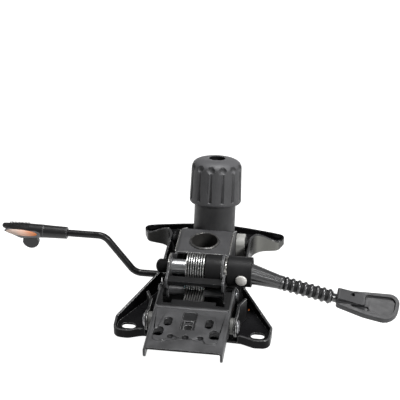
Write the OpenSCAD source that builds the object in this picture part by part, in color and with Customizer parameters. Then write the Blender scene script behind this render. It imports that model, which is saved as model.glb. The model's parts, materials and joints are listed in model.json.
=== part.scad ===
// Synchronous tilt mechanism of an office chair, lying upside down on its seat plate.
// X is the chair's width, +Y points to the front of the chair, +Z points away from the seat.
// The origin lies on the gas-lift axis, in the plane of the face that meets the seat.

/* [Sheet metal] */
// Thickness of the pressed sheet
sheet = 2.5; // [2:0.1:3]
// Height of the housing web above the seat face
web_z = 54; // [52:0.5:60]
// Outer width of the housing channel
housing_w = 58; // [56:0.5:60]
// Half length of the housing web along Y
web_half_l = 23; // [21:0.5:23]

/* [Gas lift] */
// Diameter of the gas-lift taper at its mouth
taper_d = 28; // [26:0.1:28.6]
// Outer diameter of the welded taper sleeve
sleeve_d = 33; // [32:0.5:34]
// Height of the lower end of the taper sleeve
sleeve_bottom_z = 27; // [25:0.5:32]
// Height that the sleeve's lip stands above the web
lip_h = 1.6; // [1:0.1:3]
// Length of the straight lead-in of the taper
lead_l = 8; // [5:0.5:12]
// Half angle of the taper, in degrees
taper_angle = 1.43; // [1:0.01:1.6]

/* [Seat plate] */
// Half width over the rear arms
rear_arm_x = 83; // [80:0.5:92]
// Half width over the front arms
front_arm_x = 83; // [80:0.5:90]
// Half width at the waist
waist_x = 46; // [46:0.25:48]
// Y of the rear edge of the rear arms
rear_y = -111; // [-118:0.5:-109]
// Y of the middle of the bowed front edge
front_y = 105; // [102:0.5:110]
// Height of the rim at the waist
rim_h = 25; // [23:0.5:26]
// Height of the rim at the tips of the front arms and along the front
tip_rim_h = 9; // [7:0.5:12]
// Height of the rim at the rear arms
rear_rim_h = 10; // [8:0.5:12]
// Spacing of the seat slots across the chair
slot_dx = 136; // [130:1:140]
// Spacing of the seat slots along the chair
slot_dy = 176; // [174:1:178]
// Y of the middle of the slot pattern
slot_mid_y = -4; // [-5:0.5:-3]
// Width of a seat slot
slot_w = 9; // [7:0.5:10]
// Overall length of a seat slot
slot_l = 14.5; // [11:0.5:16]

/* [Pivots] */
// Y of the front seat pivot
front_pivot_y = 52; // [50:0.5:55]
// Z of the front seat pivot
front_pivot_z = 20; // [19:0.5:22]
// Diameter of the front pivot pin
front_pin_d = 10; // [8:0.5:11]
// Y of the main pivot of the back bracket
main_y = -50; // [-51:0.25:-49]
// Z of the main pivot of the back bracket
main_z = 22.5; // [22:0.25:23]
// Diameter of the main pivot pin
main_pin_d = 10; // [8:0.5:10]
// Y of the rear seat rivets
rivet_y = -105; // [-107:0.5:-103]
// Z of the rear seat rivets
rivet_z = 22; // [21.5:0.5:23]
// Diameter of the rear rivet shanks
rivet_d = 10; // [8:0.5:10]
// Radial play of the rear rivets in the back bracket
rivet_play = 0.5; // [0.4:0.1:1]
// Extra length of the rivet slots in the back bracket
rivet_slot = 2; // [1.6:0.1:3]

/* [Friction lock] */
// Y of the lock axle
axle_y = -38; // [-38.5:0.25:-37.5]
// Z of the lock axle
axle_z = 44.5; // [44:0.25:45]
// Diameter of the lock axle
axle_d = 8; // [6:0.5:8]
// Friction plates in each of the two sets
plate_count = 8; // [5:1:8]
// Thickness of one friction plate
plate_t = 1.1; // [0.9:0.05:1.15]
// Distance between neighbouring plates of one set
plate_pitch = 2.56; // [2.5:0.01:2.7]
// X of the first friction plate
plate_x = -13.4; // [-14.5:0.1:-12]
// Radius of the rounded end of the fixed plates
fixed_plate_r = 16.2; // [13:0.1:16.3]
// Tilt travel of the back bracket, in degrees
back_travel = 20; // [16:1:22]
// Diameter of the cam cup
cup_d = 32; // [28:0.5:32.5]
// Length of the cam cup
cup_l = 26; // [24:0.5:30]
// Diameter of the black spacer beside the plates
spacer_d = 31; // [26:0.5:31.4]

/* [Back bracket] */
// Half width of the back bracket
bracket_x = 40; // [39.5:0.25:41]
// Height of the top of the bracket web
bracket_z = 35; // [34.5:0.25:36]
// Y of the rear end of the bracket
bracket_rear_y = -168; // [-176:1:-162]
// Y of the front corners of the bracket web
bracket_front_y = -64; // [-66:0.5:-63]
// Half spacing of the front pair of back bolts
back_bolt_x = 21; // [19:0.5:23]
// Y of the front pair of back bolts
back_bolt_y = -127; // [-129:0.5:-125]
// Diameter of the back bolt holes
back_bolt_d = 8.5; // [7:0.5:9]
// Length of the sunk seats of the back bolts
back_seat_l = 15; // [12:0.5:16]
// Half spacing of the rear pair of large holes
tool_hole_x = 28.5; // [27:0.5:30]
// Y of the rear pair of large holes
tool_hole_y = -143.5; // [-145:0.5:-142]
// Diameter of the large holes
tool_hole_d = 10.5; // [8:0.5:11]
// Length of the sunk seats of the large holes
tool_seat_l = 15.5; // [13:0.5:17]

/* [Tension spring] */
// X of the spring tube
tube_x = 5; // [4:0.25:6]
// Y where the axis of the spring tube meets the top of the web
tube_y = 46.5; // [46:0.25:46.75]
// Lean of the spring tube to the front, in degrees
tube_lean = 17; // [15:0.5:18]
// Outer diameter of the spring tube
tube_d = 45.5; // [44:0.5:46]
// Wall of the spring tube
tube_wall = 2.2; // [1.8:0.1:2.4]
// Length of the spring tube along its axis
tube_l = 46.5; // [45.5:0.5:52]
// Outer diameter of the tension spring
spring_d = 33; // [28:0.5:34]
// Wire diameter of the tension spring
spring_wire = 4.6; // [4:0.1:5]
// Turns of the tension spring
spring_turns = 6; // [4:1:6]
// Largest diameter of the tension knob
knob_d = 57; // [55:0.5:60]
// Distance of the knob's lower edge from the web along its axis
knob_start = 19.5; // [17:0.5:22]
// Height of the tension knob
knob_h = 49.5; // [44:0.5:54]
// Number of flutes round the knob
knob_flutes = 13; // [10:1:14]

/* [Lock lever] */
// Distance of the cam pin from the closed end of the cam cup
cam_reach = 15.8; // [15.3:0.1:16.3]
// Slope of the lock lever below the horizontal, in degrees
lever_slope = 14; // [12:0.5:15]
// Length of the boot beside the cam cup
boot_l = 38.5; // [36:0.5:44]
// Diameter of the boot at the cam cup
boot_d = 23; // [19:0.5:23]
// Diameter of the rings of the ribbed stem
rib_d = 16; // [14:0.5:17]
// Number of rings of the ribbed stem
rib_count = 8; // [6:1:9]
// Spacing of the rings of the ribbed stem
rib_pitch = 6.8; // [6:0.1:7.4]
// Length of the lock paddle
paddle_l = 64; // [56:1:70]
// Greatest width of the lock paddle
paddle_w = 40; // [34:0.5:42]

/* [Height lever] */
// Y of the height lever
rod_y = -14; // [-14.5:0.25:-13]
// Z of the inner run of the height lever
rod_z = 16; // [15.5:0.25:17]
// Diameter of the height lever rod
rod_d = 7.5; // [6:0.25:8]
// Z of the outer run of the height lever
rod_outer_z = 61; // [58:0.5:66]
// X of the lower bend of the rod
rod_bend_in_x = -74.5; // [-78:0.5:-72]
// X of the upper bend of the rod
rod_bend_out_x = -107; // [-114:0.5:-104]
// X of the outer end of the grip
grip_end_x = -220; // [-230:1:-210]
// Length of the grip's round socket
socket_l = 30; // [24:1:34]
// Diameter of the grip's round socket
socket_d = 14.5; // [12:0.5:16]

/* [Hidden] */

$fn = 64;
// Gap between faces that seat on each other without being a fit
seat_gap = 0.2;
// Gap between bodies that move past each other
move_gap = 0.5;
// Radial play of a running fit
run_fit = 0.05;
// Overlap of a cutting tool past the face that it cuts
over = 1;
// Segments of a drawn arc in an outline
arc_steps = 6;
// Segments of an arc of the seat plate's outline
fine_steps = 12;
// Largest play between the bent rod and the hole that it rocks in
rod_play = 0.85;
wall_out = housing_w / 2;
wall_in = wall_out - sheet;
// Outward step of the left wall at the lock
jog = 4.5;
jog_y = -27;
lock_out = wall_out + jog;
lock_in = wall_in + jog;
flange_in = bracket_x - sheet;
ear_gap = 5;
ear_in = bracket_x + ear_gap;
ear_out = ear_in + sheet;
block_in = wall_out + seat_gap;
block_w = 10;
lobe_r = main_pin_d / 2 + 3;
rivet_lobe_r = rivet_d / 2 + 5;
front_lobe_r = front_pin_d / 2 + 5;
web_near_y = -web_half_l;
plate_end_x = plate_x + plate_count * plate_pitch;
slot_r = sqrt(pow(axle_y - main_y, 2) + pow(axle_z - main_z, 2));
slot_a = atan2(axle_z - main_z, axle_y - main_y);
clip_t = 1.5;
strap_y = -59;
strap_z = 41.5;
strap_l = 10;
strap_t = 4;
plate_pin_y = -84;
plate_pin_z = 25.5;
plate_pin_d = 8;
press_t = 1.2;
cup_x = wall_out + press_t;
cam_x = cup_x + cam_reach;
cam_pin_d = 8;
cup_floor = 6;
core_w = 12;
core_h = 8;
cam_d = 17;
core_end = 4;
// Wall of the cam cup round its bore
cup_wall = 1.5;
// Thickness of the plate that doubles the right wall at the lock
doubler = 2.5;
spacer_end = wall_in - doubler;
// Outer radius of a press bend
bend_out = 4;
rod_hole_d = rod_d + 2 * rod_play + 1.2;
rod_pivot_d = 4;
rod_block_l = 10;
rod_pivot_x = rod_block_l / 2 - wall_in;
tube_id = tube_d - 2 * tube_wall;
cup_top_t = -2;
// Distance of the nut plate's spring face from the knob end of the tube
nut_depth = 8;
nut_low_t = tube_l - nut_depth;
nut_t = 4;
screw_d = 10;
stem_end_t = -44;
post_y = tube_y + stem_end_t * sin(tube_lean);
post_top_z = web_z + stem_end_t * cos(tube_lean) - 2.2;

// Unit vector of v
function unit(v) = v / norm(v);
// Outline of corner points [x, y, radius] with each corner rounded
function rounded(pts, steps = arc_steps) = [
  for (i = [0 : len(pts) - 1])
    let (
      n = len(pts),
      b = [pts[i][0], pts[i][1]],
      a = [pts[(i + n - 1) % n][0], pts[(i + n - 1) % n][1]],
      c = [pts[(i + 1) % n][0], pts[(i + 1) % n][1]],
      u = unit(a - b),
      v = unit(c - b),
      half = acos(max(-1, min(1, u * v))) / 2,
      r = pts[i][2],
      centre = b + unit(u + v) * r / sin(half),
      from = b + u * r / tan(half) - centre,
      to = b + v * r / tan(half) - centre
    )
    for (k = [0 : steps]) centre + r * unit(from * (1 - k / steps) + to * k / steps)
];
// Corner points moved inwards by t, with their radii kept concentric
function inset(pts, t) = [
  for (i = [0 : len(pts) - 1])
    let (
      n = len(pts),
      b = [pts[i][0], pts[i][1]],
      d1 = unit(b - [pts[(i + n - 1) % n][0], pts[(i + n - 1) % n][1]]),
      d2 = unit([pts[(i + 1) % n][0], pts[(i + 1) % n][1]] - b),
      n1 = [-d1[1], d1[0]],
      n2 = [-d2[1], d2[0]],
      convex = d1[0] * d2[1] - d1[1] * d2[0] > 0,
      p = b + t * (n1 + n2) / (1 + n1 * n2)
    )
    [p[0], p[1], convex ? max(0.5, pts[i][2] - t) : pts[i][2] + t]
];
// Mirror image of corner points, in the order that keeps the outline anticlockwise
function both_sides(half) = concat(half, [
  for (i = [len(half) - 1 : -1 : 0]) [-half[i][0], half[i][1], half[i][2]]
]);

// Cylinder along X
module bar_x(x0, x1, y, z, d) {
  translate([x0, y, z]) rotate([0, 90, 0]) cylinder(h = x1 - x0, d = d);
}
// Plate of a YZ outline, standing between two values of X
module standing(x0, x1) {
  translate([x0, 0, 0]) rotate([90, 0, 90]) linear_extrude(x1 - x0) children();
}
// Channel bent from sheet: a web with two sides, running along Y, open downwards
module channel(half_w, top_z, side_h, y0, y1) {
  in_w = half_w - sheet;
  low = top_z - side_h;
  translate([0, y1, 0]) rotate([90, 0, 0]) linear_extrude(y1 - y0) difference() {
    polygon(rounded([
      [-half_w, low, 0.1], [half_w, low, 0.1], [half_w, top_z, bend_out], [-half_w, top_z, bend_out]
    ]));
    polygon(rounded([
      [-in_w, low - over, 0.1], [in_w, low - over, 0.1], [in_w, top_z - sheet, bend_out - sheet],
      [-in_w, top_z - sheet, bend_out - sheet]
    ]));
  }
}
// A child and its mirror image across the middle of the chair
module pair() {
  children();
  mirror([1, 0, 0]) children();
}
// Frame of the spring tube: its Z runs along the tube from the top of the web
module on_tube() {
  translate([tube_x, tube_y, web_z]) rotate([-tube_lean, 0, 0]) children();
}
// Frame of the lock lever: its X runs along the lever from the cam pin
module on_lever() {
  translate([cam_x, axle_y, axle_z]) rotate([0, lever_slope, 0]) children();
}

seat_half = [
  [30, rear_y + 6.5, 14], [52, rear_y + 5.5, 16], [66, rear_y, 12], [rear_arm_x - 1, rear_y + 1, 9],
  [rear_arm_x, rear_y + 25, 7], [waist_x, -20, 24], [waist_x, 66.5, 18], [75, 72.5, 8],
  [front_arm_x, 92, 7], [66, front_y - 8.5, 30], [40, front_y - 3.5, 60], [16, front_y, 60]
];
seat_corners = both_sides(seat_half);

module seat_slots() {
  for (sx = [-1, 1], sy = [-1, 1])
    for (e = [-1, 1])
      translate([sx * slot_dx / 2 + e * (slot_l - slot_w) / 2, slot_mid_y + sy * slot_dy / 2, -over])
        cylinder(h = sheet + 2 * over, d = slot_w);
  for (sx = [-1, 1], sy = [-1, 1])
    translate([sx * slot_dx / 2 - (slot_l - slot_w) / 2, slot_mid_y + sy * slot_dy / 2 - slot_w / 2, -over])
      cube([slot_l - slot_w, slot_w, sheet + 2 * over]);
}

// Space under the top edge of the rim, which rises from the arms to the waist
module rim_space() {
  far = 100;
  arm_y = 80;
  waist_y = 30;
  mid_h = 13;
  peak_x = 50;
  tip_x = 78;
  translate([0, arm_y, 0]) rotate([90, 0, 0]) linear_extrude(arm_y - waist_y) polygon([
    [-far, 0], [far, 0], [far, tip_rim_h], [tip_x, tip_rim_h], [peak_x, rim_h],
    [-peak_x, rim_h], [-tip_x, tip_rim_h], [-far, tip_rim_h]
  ]);
  translate([-far, arm_y - over, 0]) cube([2 * far, front_y, tip_rim_h]);
  // The left rim stays high round the height lever
  standing(-far, 0) polygon([
    [rear_y - over, 0], [waist_y + over, 0], [waist_y + over, rim_h], [rod_y - 11, rim_h],
    [rear_y + 25, rear_rim_h], [rear_y - over, rear_rim_h]
  ]);
  // The right rim is low under the cam cup
  standing(0, far) polygon([
    [rear_y - over, 0], [waist_y + over, 0], [waist_y + over, rim_h], [0, rim_h], [-18, mid_h],
    [rear_y + 25, rear_rim_h], [rear_y - over, rear_rim_h]
  ]);
}

// Pressed tray that the seat is bolted to, with a rim all round and an open middle
module seat_plate() {
  window_x = bracket_x + 0.8;
  window_tip = 34;
  window_rear = -66;
  window_mid = -6;
  window_front = 16;
  relief = 1.2;
  rod_half = 6;
  rod_top = rod_z + rod_d / 2 + 1.2;
  color("#2b2b2d") difference() {
    union() {
      linear_extrude(sheet) polygon(rounded(seat_corners, fine_steps));
      intersection() {
        linear_extrude(rim_h) difference() {
          polygon(rounded(seat_corners, fine_steps));
          polygon(rounded(inset(seat_corners, sheet), fine_steps));
        }
        rim_space();
      }
    }
    seat_slots();
    translate([0, 0, -over]) linear_extrude(sheet + 2 * over) polygon(rounded(both_sides([
      [window_x, window_rear, 8], [window_x, window_mid, 8], [window_tip, window_front, 8]
    ])));
    // Window of the left rim that the height lever swings in
    translate([-waist_x - rod_half, rod_y - rod_half, relief])
      cube([2 * rod_half, 2 * rod_half, rod_top - relief]);
    // Gap in the rear rim under the back bracket
    translate([-ear_out - over, rear_y - over, sheet]) cube([2 * (ear_out + over), 30, rim_h]);
  }
}

// Bent-up ear that carries one rear rivet, with its front end bent outwards
module seat_ear(side) {
  bend_y = -76;
  foot_rear = -95;
  top_z = 28;
  flare_l = 15;
  flare = 24;
  color("#2b2b2d") mirror([side > 0 ? 0 : 1, 0, 0]) difference() {
    union() {
      standing(ear_in, ear_out) union() {
        polygon(rounded([
          [bend_y, sheet, 0.2], [bend_y, top_z, 0.2], [rivet_y - 6, top_z, 5],
          [rivet_y - 8, rivet_z - 8, 6], [foot_rear, sheet, 4]
        ]));
        translate([rivet_y, rivet_z]) circle(rivet_lobe_r);
      }
      translate([ear_in, bend_y - 0.1, sheet]) rotate([0, 0, -flare]) cube([sheet, flare_l, top_z - sheet]);
    }
    bar_x(ear_in - over, ear_out + over, rivet_y, rivet_z, rivet_d + 2 * run_fit);
  }
}
module seat_ear_left() { seat_ear(-1); }
module seat_ear_right() { seat_ear(1); }

// Domed rocker on the floor of the tray that the stem of the spring cup bears on
module spring_post() {
  post_r = 9;
  base_y = post_y + 2;
  color("#3a3a3c") translate([tube_x, base_y, sheet]) {
    rotate_extrude() polygon(concat([[0, 0], [post_r, 0], [post_r, 2]], [
      for (k = [1 : 8])
        let (a = 90 * k / 8)
        [post_r * cos(a), 2 + (post_top_z - sheet - 2) * sin(a)]
    ]));
  }
}

// Nylon bearing block of the front pivot, standing in the seat plate
module front_block(side) {
  half_y = 10;
  x0 = side > 0 ? block_in : -block_in - block_w;
  color("#b9b9b6") difference() {
    standing(x0, x0 + block_w) polygon(rounded([
      [front_pivot_y - half_y, sheet, 0.6], [front_pivot_y + half_y, sheet, 0.6],
      [front_pivot_y + half_y, front_pivot_z + front_lobe_r, 7],
      [front_pivot_y - half_y, front_pivot_z + front_lobe_r, 7]
    ]));
    bar_x(x0 - over, x0 + block_w + over, front_pivot_y, front_pivot_z, front_pin_d + 2 * run_fit);
  }
}
module front_block_left() { front_block(-1); }
module front_block_right() { front_block(1); }

// Shouldered rivets through the seat ears into the back bracket
module rear_rivets() {
  tail_x = flange_in - seat_gap - 2;
  head_r = 7;
  head_t = 0.8;
  dome = 2.2;
  color("#c9c9c9") pair() {
    bar_x(tail_x, ear_out + seat_gap, rivet_y, rivet_z, rivet_d);
    translate([ear_out + seat_gap, rivet_y, rivet_z]) rotate([0, 90, 0]) rotate_extrude()
      polygon(concat([[0, 0], [head_r, 0], [head_r, head_t]], [
        for (k = [1 : 6]) [head_r * cos(15 * k), head_t + dome * sin(15 * k)]
      ]));
    bar_x(tail_x - 2, tail_x, rivet_y, rivet_z, rivet_d + 4);
  }
}

// Nylon washers between the seat ears and the back bracket
module rear_washers() {
  color("#e8e8e6") pair() difference() {
    bar_x(bracket_x + seat_gap, ear_in - seat_gap, rivet_y, rivet_z, rivet_d + 7);
    bar_x(bracket_x, ear_in, rivet_y, rivet_z, rivet_d + 2 * seat_gap);
  }
}

wall_corners = [
  [front_pivot_y + front_lobe_r, front_pivot_z - front_lobe_r, 9.8],
  [front_pivot_y + front_lobe_r, front_pivot_z + front_lobe_r, 9.8],
  [web_half_l + 5, web_z - bend_out, 10], [web_near_y + 2, web_z - bend_out, 2], [axle_y + 12, axle_z + 9, 4],
  [axle_y - 13, axle_z + 13, 12.5], [axle_y - 13, strap_z + 6, 3],
  [strap_y - 7, strap_z + 5, 3], [strap_y - 7, strap_z - 6, 3],
  [main_y - lobe_r, main_z + 6, 4], [main_y - lobe_r, main_z - lobe_r, lobe_r - 0.2],
  [main_y + lobe_r + 4, main_z - lobe_r, 10]
];

// Part of a housing wall between two values of Y
module wall_part(y0, y1) {
  intersection() {
    polygon(rounded(wall_corners));
    translate([y0, 0]) square([y1 - y0, 2 * web_z]);
  }
}

// Welded channel that holds the gas lift, the spring tube and all the pivots
module housing() {
  far = 100;
  color("#333335") difference() {
    union() {
      standing(wall_in, wall_out) polygon(rounded(wall_corners));
      standing(-wall_out, -wall_in) wall_part(jog_y, far);
      standing(-lock_out, -lock_in) wall_part(-far, jog_y + sheet);
      standing(-lock_out, -wall_in) wall_part(jog_y, jog_y + sheet);
      // Lobe of the left wall round the height lever
      standing(-wall_out, -wall_in) translate([rod_y, rod_z]) circle(d = rod_hole_d + 5);
      channel(wall_out, web_z, 2 * bend_out, web_near_y, web_half_l);
      // Plate that doubles the right wall at the lock
      standing(spacer_end, wall_in) translate([axle_y, axle_z]) circle(d = spacer_d + 2);
    }
    translate([0, 0, web_z - sheet - over]) cylinder(h = sheet + 2 * over, d = sleeve_d);
    on_tube() cylinder(h = 2 * tube_l, d = tube_d, center = true);
    bar_x(-wall_out - over, wall_out + over, front_pivot_y, front_pivot_z, front_pin_d);
    bar_x(-lock_out - over, wall_out + over, main_y, main_z, main_pin_d);
    bar_x(-lock_out - over, wall_out + over, axle_y, axle_z, axle_d);
    bar_x(-wall_out - over, -wall_in + over, rod_y, rod_z, rod_hole_d);
    // Slots that the ends of the strap are welded into
    translate([-lock_out - over, strap_y - strap_l / 2, strap_z - strap_t / 2])
      cube([housing_w + jog + 2 * over, strap_l, strap_t]);
  }
}

// Tapered sleeve that the gas lift is pressed into
module gas_lift_sleeve() {
  top = web_z + lip_h;
  deep = top - lead_l - sleeve_bottom_z;
  r1 = taper_d / 2 - deep * tan(taper_angle);
  color("#4a4a4c") rotate_extrude() polygon([
    [r1, sleeve_bottom_z], [sleeve_d / 2, sleeve_bottom_z], [sleeve_d / 2, top - 0.8],
    [sleeve_d / 2 - 0.8, top], [taper_d / 2, top], [taper_d / 2, top - lead_l]
  ]);
}

// Tube that holds the tension spring, welded in between the walls
module spring_tube() {
  tube_low = 17;
  color("#2f2f31") on_tube() translate([0, 0, -tube_low]) difference() {
    cylinder(h = tube_l + tube_low, d = tube_d);
    translate([0, 0, -over]) cylinder(h = tube_l + tube_low + 2 * over, d = tube_id);
  }
}

// Long pin of the front seat pivot
module front_pivot_pin() {
  end_x = block_in + block_w + seat_gap + clip_t + 1.5;
  color("#8d8d8f") bar_x(-end_x, end_x, front_pivot_y, front_pivot_z, front_pin_d);
}
// Retaining washers on a pin, at both ends
module clips(x, y, z, pin_d, d) {
  pair() difference() {
    bar_x(x, x + clip_t, y, z, d);
    bar_x(x - over, x + clip_t + over, y, z, pin_d);
  }
}
module front_pin_clips() {
  color("#a8a8a8")
    clips(block_in + block_w + seat_gap, front_pivot_y, front_pivot_z, front_pin_d, front_pin_d + 6);
}

// Pin that the back bracket turns on
module main_pivot_pin() {
  end_x = bracket_x + seat_gap + clip_t + 1.2;
  color("#8d8d8f") bar_x(-end_x, end_x, main_y, main_z, main_pin_d);
}
module main_pin_clips() {
  color("#a8a8a8") clips(bracket_x + seat_gap, main_y, main_z, main_pin_d, main_pin_d + 3);
}

// Black bushes between the housing walls and the back bracket
module pivot_bushes() {
  spans = [[wall_out, flange_in - seat_gap], [seat_gap - flange_in, -lock_out]];
  color("#262628") for (span = spans) difference() {
    bar_x(span[0], span[1], main_y, main_z, main_pin_d + 5);
    bar_x(span[0] - over, span[1] + over, main_y, main_z, main_pin_d);
  }
}

// Bolt that draws the two sets of friction plates together
module lock_axle() {
  color("#b5b5b7") bar_x(-lock_out - cap_bite, cup_x + cup_floor, axle_y, axle_z, axle_d);
}

axle_washer_t = 1.5;
cap_bite = 3;

// Domed black cap on the left end of the lock axle
module axle_cap() {
  cap_r = 7.3;
  start = lock_out;
  dome = 5;
  cap_l = 13.5;
  color("#262628") difference() {
    translate([-start, axle_y, axle_z]) rotate([0, -90, 0]) rotate_extrude() polygon(concat(
      [[0, 0], [cap_r, 0], [cap_r, cap_l - dome]],
      [for (k = [1 : 6]) [cap_r * cos(15 * k), cap_l - dome + dome * sin(15 * k)]]
    ));
    bar_x(-start - cap_bite, -start + over, axle_y, axle_z, axle_d);
  }
}
// Washer between the left wall and the zinc sleeve
module axle_washer() {
  washer_d = 19;
  color("#58585a") difference() {
    bar_x(-lock_in, axle_washer_t - lock_in, axle_y, axle_z, washer_d);
    bar_x(-lock_in - over, axle_washer_t - lock_in + over, axle_y, axle_z, axle_d);
  }
}

// Zinc-plated sleeve left of the plates
module zinc_sleeve() {
  zinc_d = 16.4;
  color("#d0d0d2") difference() {
    bar_x(axle_washer_t - lock_in, plate_x - seat_gap, axle_y, axle_z, zinc_d);
    bar_x(-lock_in, plate_x + over, axle_y, axle_z, axle_d);
  }
}

// Plates that are held by the housing, each hooked on the strap from behind and below
module fixed_plates() {
  jaw = 6;
  shoulder = 1.5;
  set_back = 0.5;
  strap_low = strap_z - strap_t / 2;
  strap_near = strap_y - strap_l / 2;
  strap_back = strap_y + strap_l / 2;
  color("#d8d8da") for (k = [0 : plate_count - 1]) {
    x0 = plate_x + k * plate_pitch;
    difference() {
      standing(x0, x0 + plate_t) difference() {
        union() {
          translate([axle_y, axle_z]) circle(fixed_plate_r);
          polygon(rounded([
            [axle_y - 4, strap_low - jaw - 3, 2], [axle_y - 4, axle_z + 6, 2],
            [strap_back + 2, strap_low + strap_t + shoulder, 1],
            [strap_near + set_back, strap_low + strap_t + shoulder, 1],
            [strap_near + set_back, strap_low - jaw, 2], [strap_back + 1, strap_low - jaw - 2, 3]
          ]));
        }
        translate([strap_near - over, strap_low]) square([strap_l + over, strap_t + shoulder + over]);
      }
      bar_x(x0 - over, x0 + plate_t + over, axle_y, axle_z, axle_d);
    }
  }
}

// Flat strap across the housing that anchors the fixed plates
module plate_strap() {
  color("#39393b") translate([-lock_out, strap_y - strap_l / 2, strap_z - strap_t / 2])
    cube([housing_w + jog, strap_l, strap_t]);
}

// Black spacer right of the plates
module axle_spacer() {
  color("#2a2a2c") difference() {
    bar_x(plate_end_x + seat_gap, spacer_end, axle_y, axle_z, spacer_d);
    bar_x(plate_end_x - over, spacer_end + over, axle_y, axle_z, axle_d);
  }
}

// Steel washer that the cam presses against
module pressure_washer() {
  press_d = 26;
  color("#bdbdbf") difference() {
    bar_x(wall_out, cup_x, axle_y, axle_z, press_d);
    bar_x(wall_out - over, cup_x + over, axle_y, axle_z, axle_d);
  }
}

// Cup that holds the cam of the lock lever
module cam_cup() {
  rim = 0.7;
  color("#2d2d2f") difference() {
    translate([cup_x, axle_y, axle_z]) rotate([0, 90, 0]) rotate_extrude() polygon(rounded([
      [0, 0, 0.1], [cup_d / 2, 0, rim], [cup_d / 2, cup_l, rim], [0, cup_l, 0.1]
    ]));
    bar_x(cup_x - over, cup_x + cup_floor + over, axle_y, axle_z, axle_d);
    bar_x(cup_x + cup_floor, cup_x + cup_l + over, axle_y, axle_z, cup_d - 2 * cup_wall);
    translate([cam_x, axle_y + cup_d, axle_z]) rotate([90, 0, 0]) cylinder(h = 2 * cup_d, d = cam_pin_d);
  }
}

// Riveted pin that the lock lever turns on
module cam_pin() {
  reach = cup_d / 2;
  shank = 2 * reach - 0.5;
  head_r = 6;
  head_t = 1;
  dome = 1.8;
  color("#d6d6d6") translate([cam_x, axle_y + reach - 1, axle_z]) rotate([90, 0, 0]) {
    cylinder(h = shank, d = cam_pin_d);
    translate([0, 0, shank]) rotate_extrude() polygon(concat([[0, 0], [head_r, 0], [head_r, head_t]], [
      for (k = [1 : 6]) [head_r * cos(15 * k), head_t + dome * sin(15 * k)]
    ]));
  }
}

// Nylon block inside the left wall that holds the pivot of the height lever
module rod_bush() {
  half_y = 8;
  half_z = 7;
  color("#1f1f20") difference() {
    standing(-wall_in, rod_block_l - wall_in) polygon(rounded([
      [rod_y - half_y, rod_z - half_z, 2], [rod_y + half_y, rod_z - half_z, 2],
      [rod_y + half_y, rod_z + half_z, 2], [rod_y - half_y, rod_z + half_z, 2]
    ]));
    bar_x(-wall_in - over, rod_block_l - wall_in + over, rod_y, rod_z, rod_hole_d);
    translate([rod_pivot_x, rod_y + half_y + over, rod_z]) rotate([90, 0, 0])
      cylinder(h = 2 * half_y + 2 * over, d = rod_pivot_d + 2 * run_fit);
  }
}
// Cross pin that the height lever rocks on
module rod_pivot_pin() {
  reach = 7.6;
  color("#8d8d8f") translate([rod_pivot_x, rod_y + reach, rod_z]) rotate([90, 0, 0])
    cylinder(h = 2 * reach, d = rod_pivot_d);
}

emboss_h = 1.4;
insert_w = 15;
insert_l = 31;
insert_y = back_bolt_y + 6.5;
bracket_side = [
  [bracket_rear_y, bracket_z - 14, 5], [rivet_y - 22, bracket_z - 14, 12],
  [rivet_y - 8, rivet_z - rivet_lobe_r, 9], [rivet_y + 8, rivet_z - rivet_lobe_r, 9],
  [rivet_y + 20, bracket_z - 15, 12], [main_y - 18, main_z - lobe_r, 14],
  [main_y + lobe_r, main_z - lobe_r, lobe_r - 0.2], [main_y + lobe_r, main_z + lobe_r, lobe_r - 0.2],
  [main_y - 3, main_z + lobe_r, 2], [main_y - 7.5, bracket_z - 0.5, 1],
  [bracket_front_y + 3, bracket_z - 0.5, 1], [bracket_front_y, bracket_z - bend_out, 1],
  [bracket_rear_y, bracket_z - bend_out, 0.6]
];

// Raised pressing of the bracket web, as an outline in plan
emboss_corners = both_sides([
  [8, back_bolt_y - 23, 3], [15.5, back_bolt_y - 17, 3], [20, back_bolt_y - 29, 4],
  [34, back_bolt_y - 29, 5], [26, back_bolt_y + 19, 8]
]);

// Round hole through the bracket web, at the rear end of a sunk oblong seat
module seated_hole(x, y, d, l) {
  deep = 10;
  sunk = 1;
  translate([x, y, bracket_z - deep]) cylinder(h = 2 * deep, d = d);
  translate([x, y, bracket_z - sunk]) {
    translate([0, l - d, 0]) cylinder(h = deep, d = d);
    translate([-d / 2, 0, 0]) cube([d, l - d, deep]);
  }
}

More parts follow.
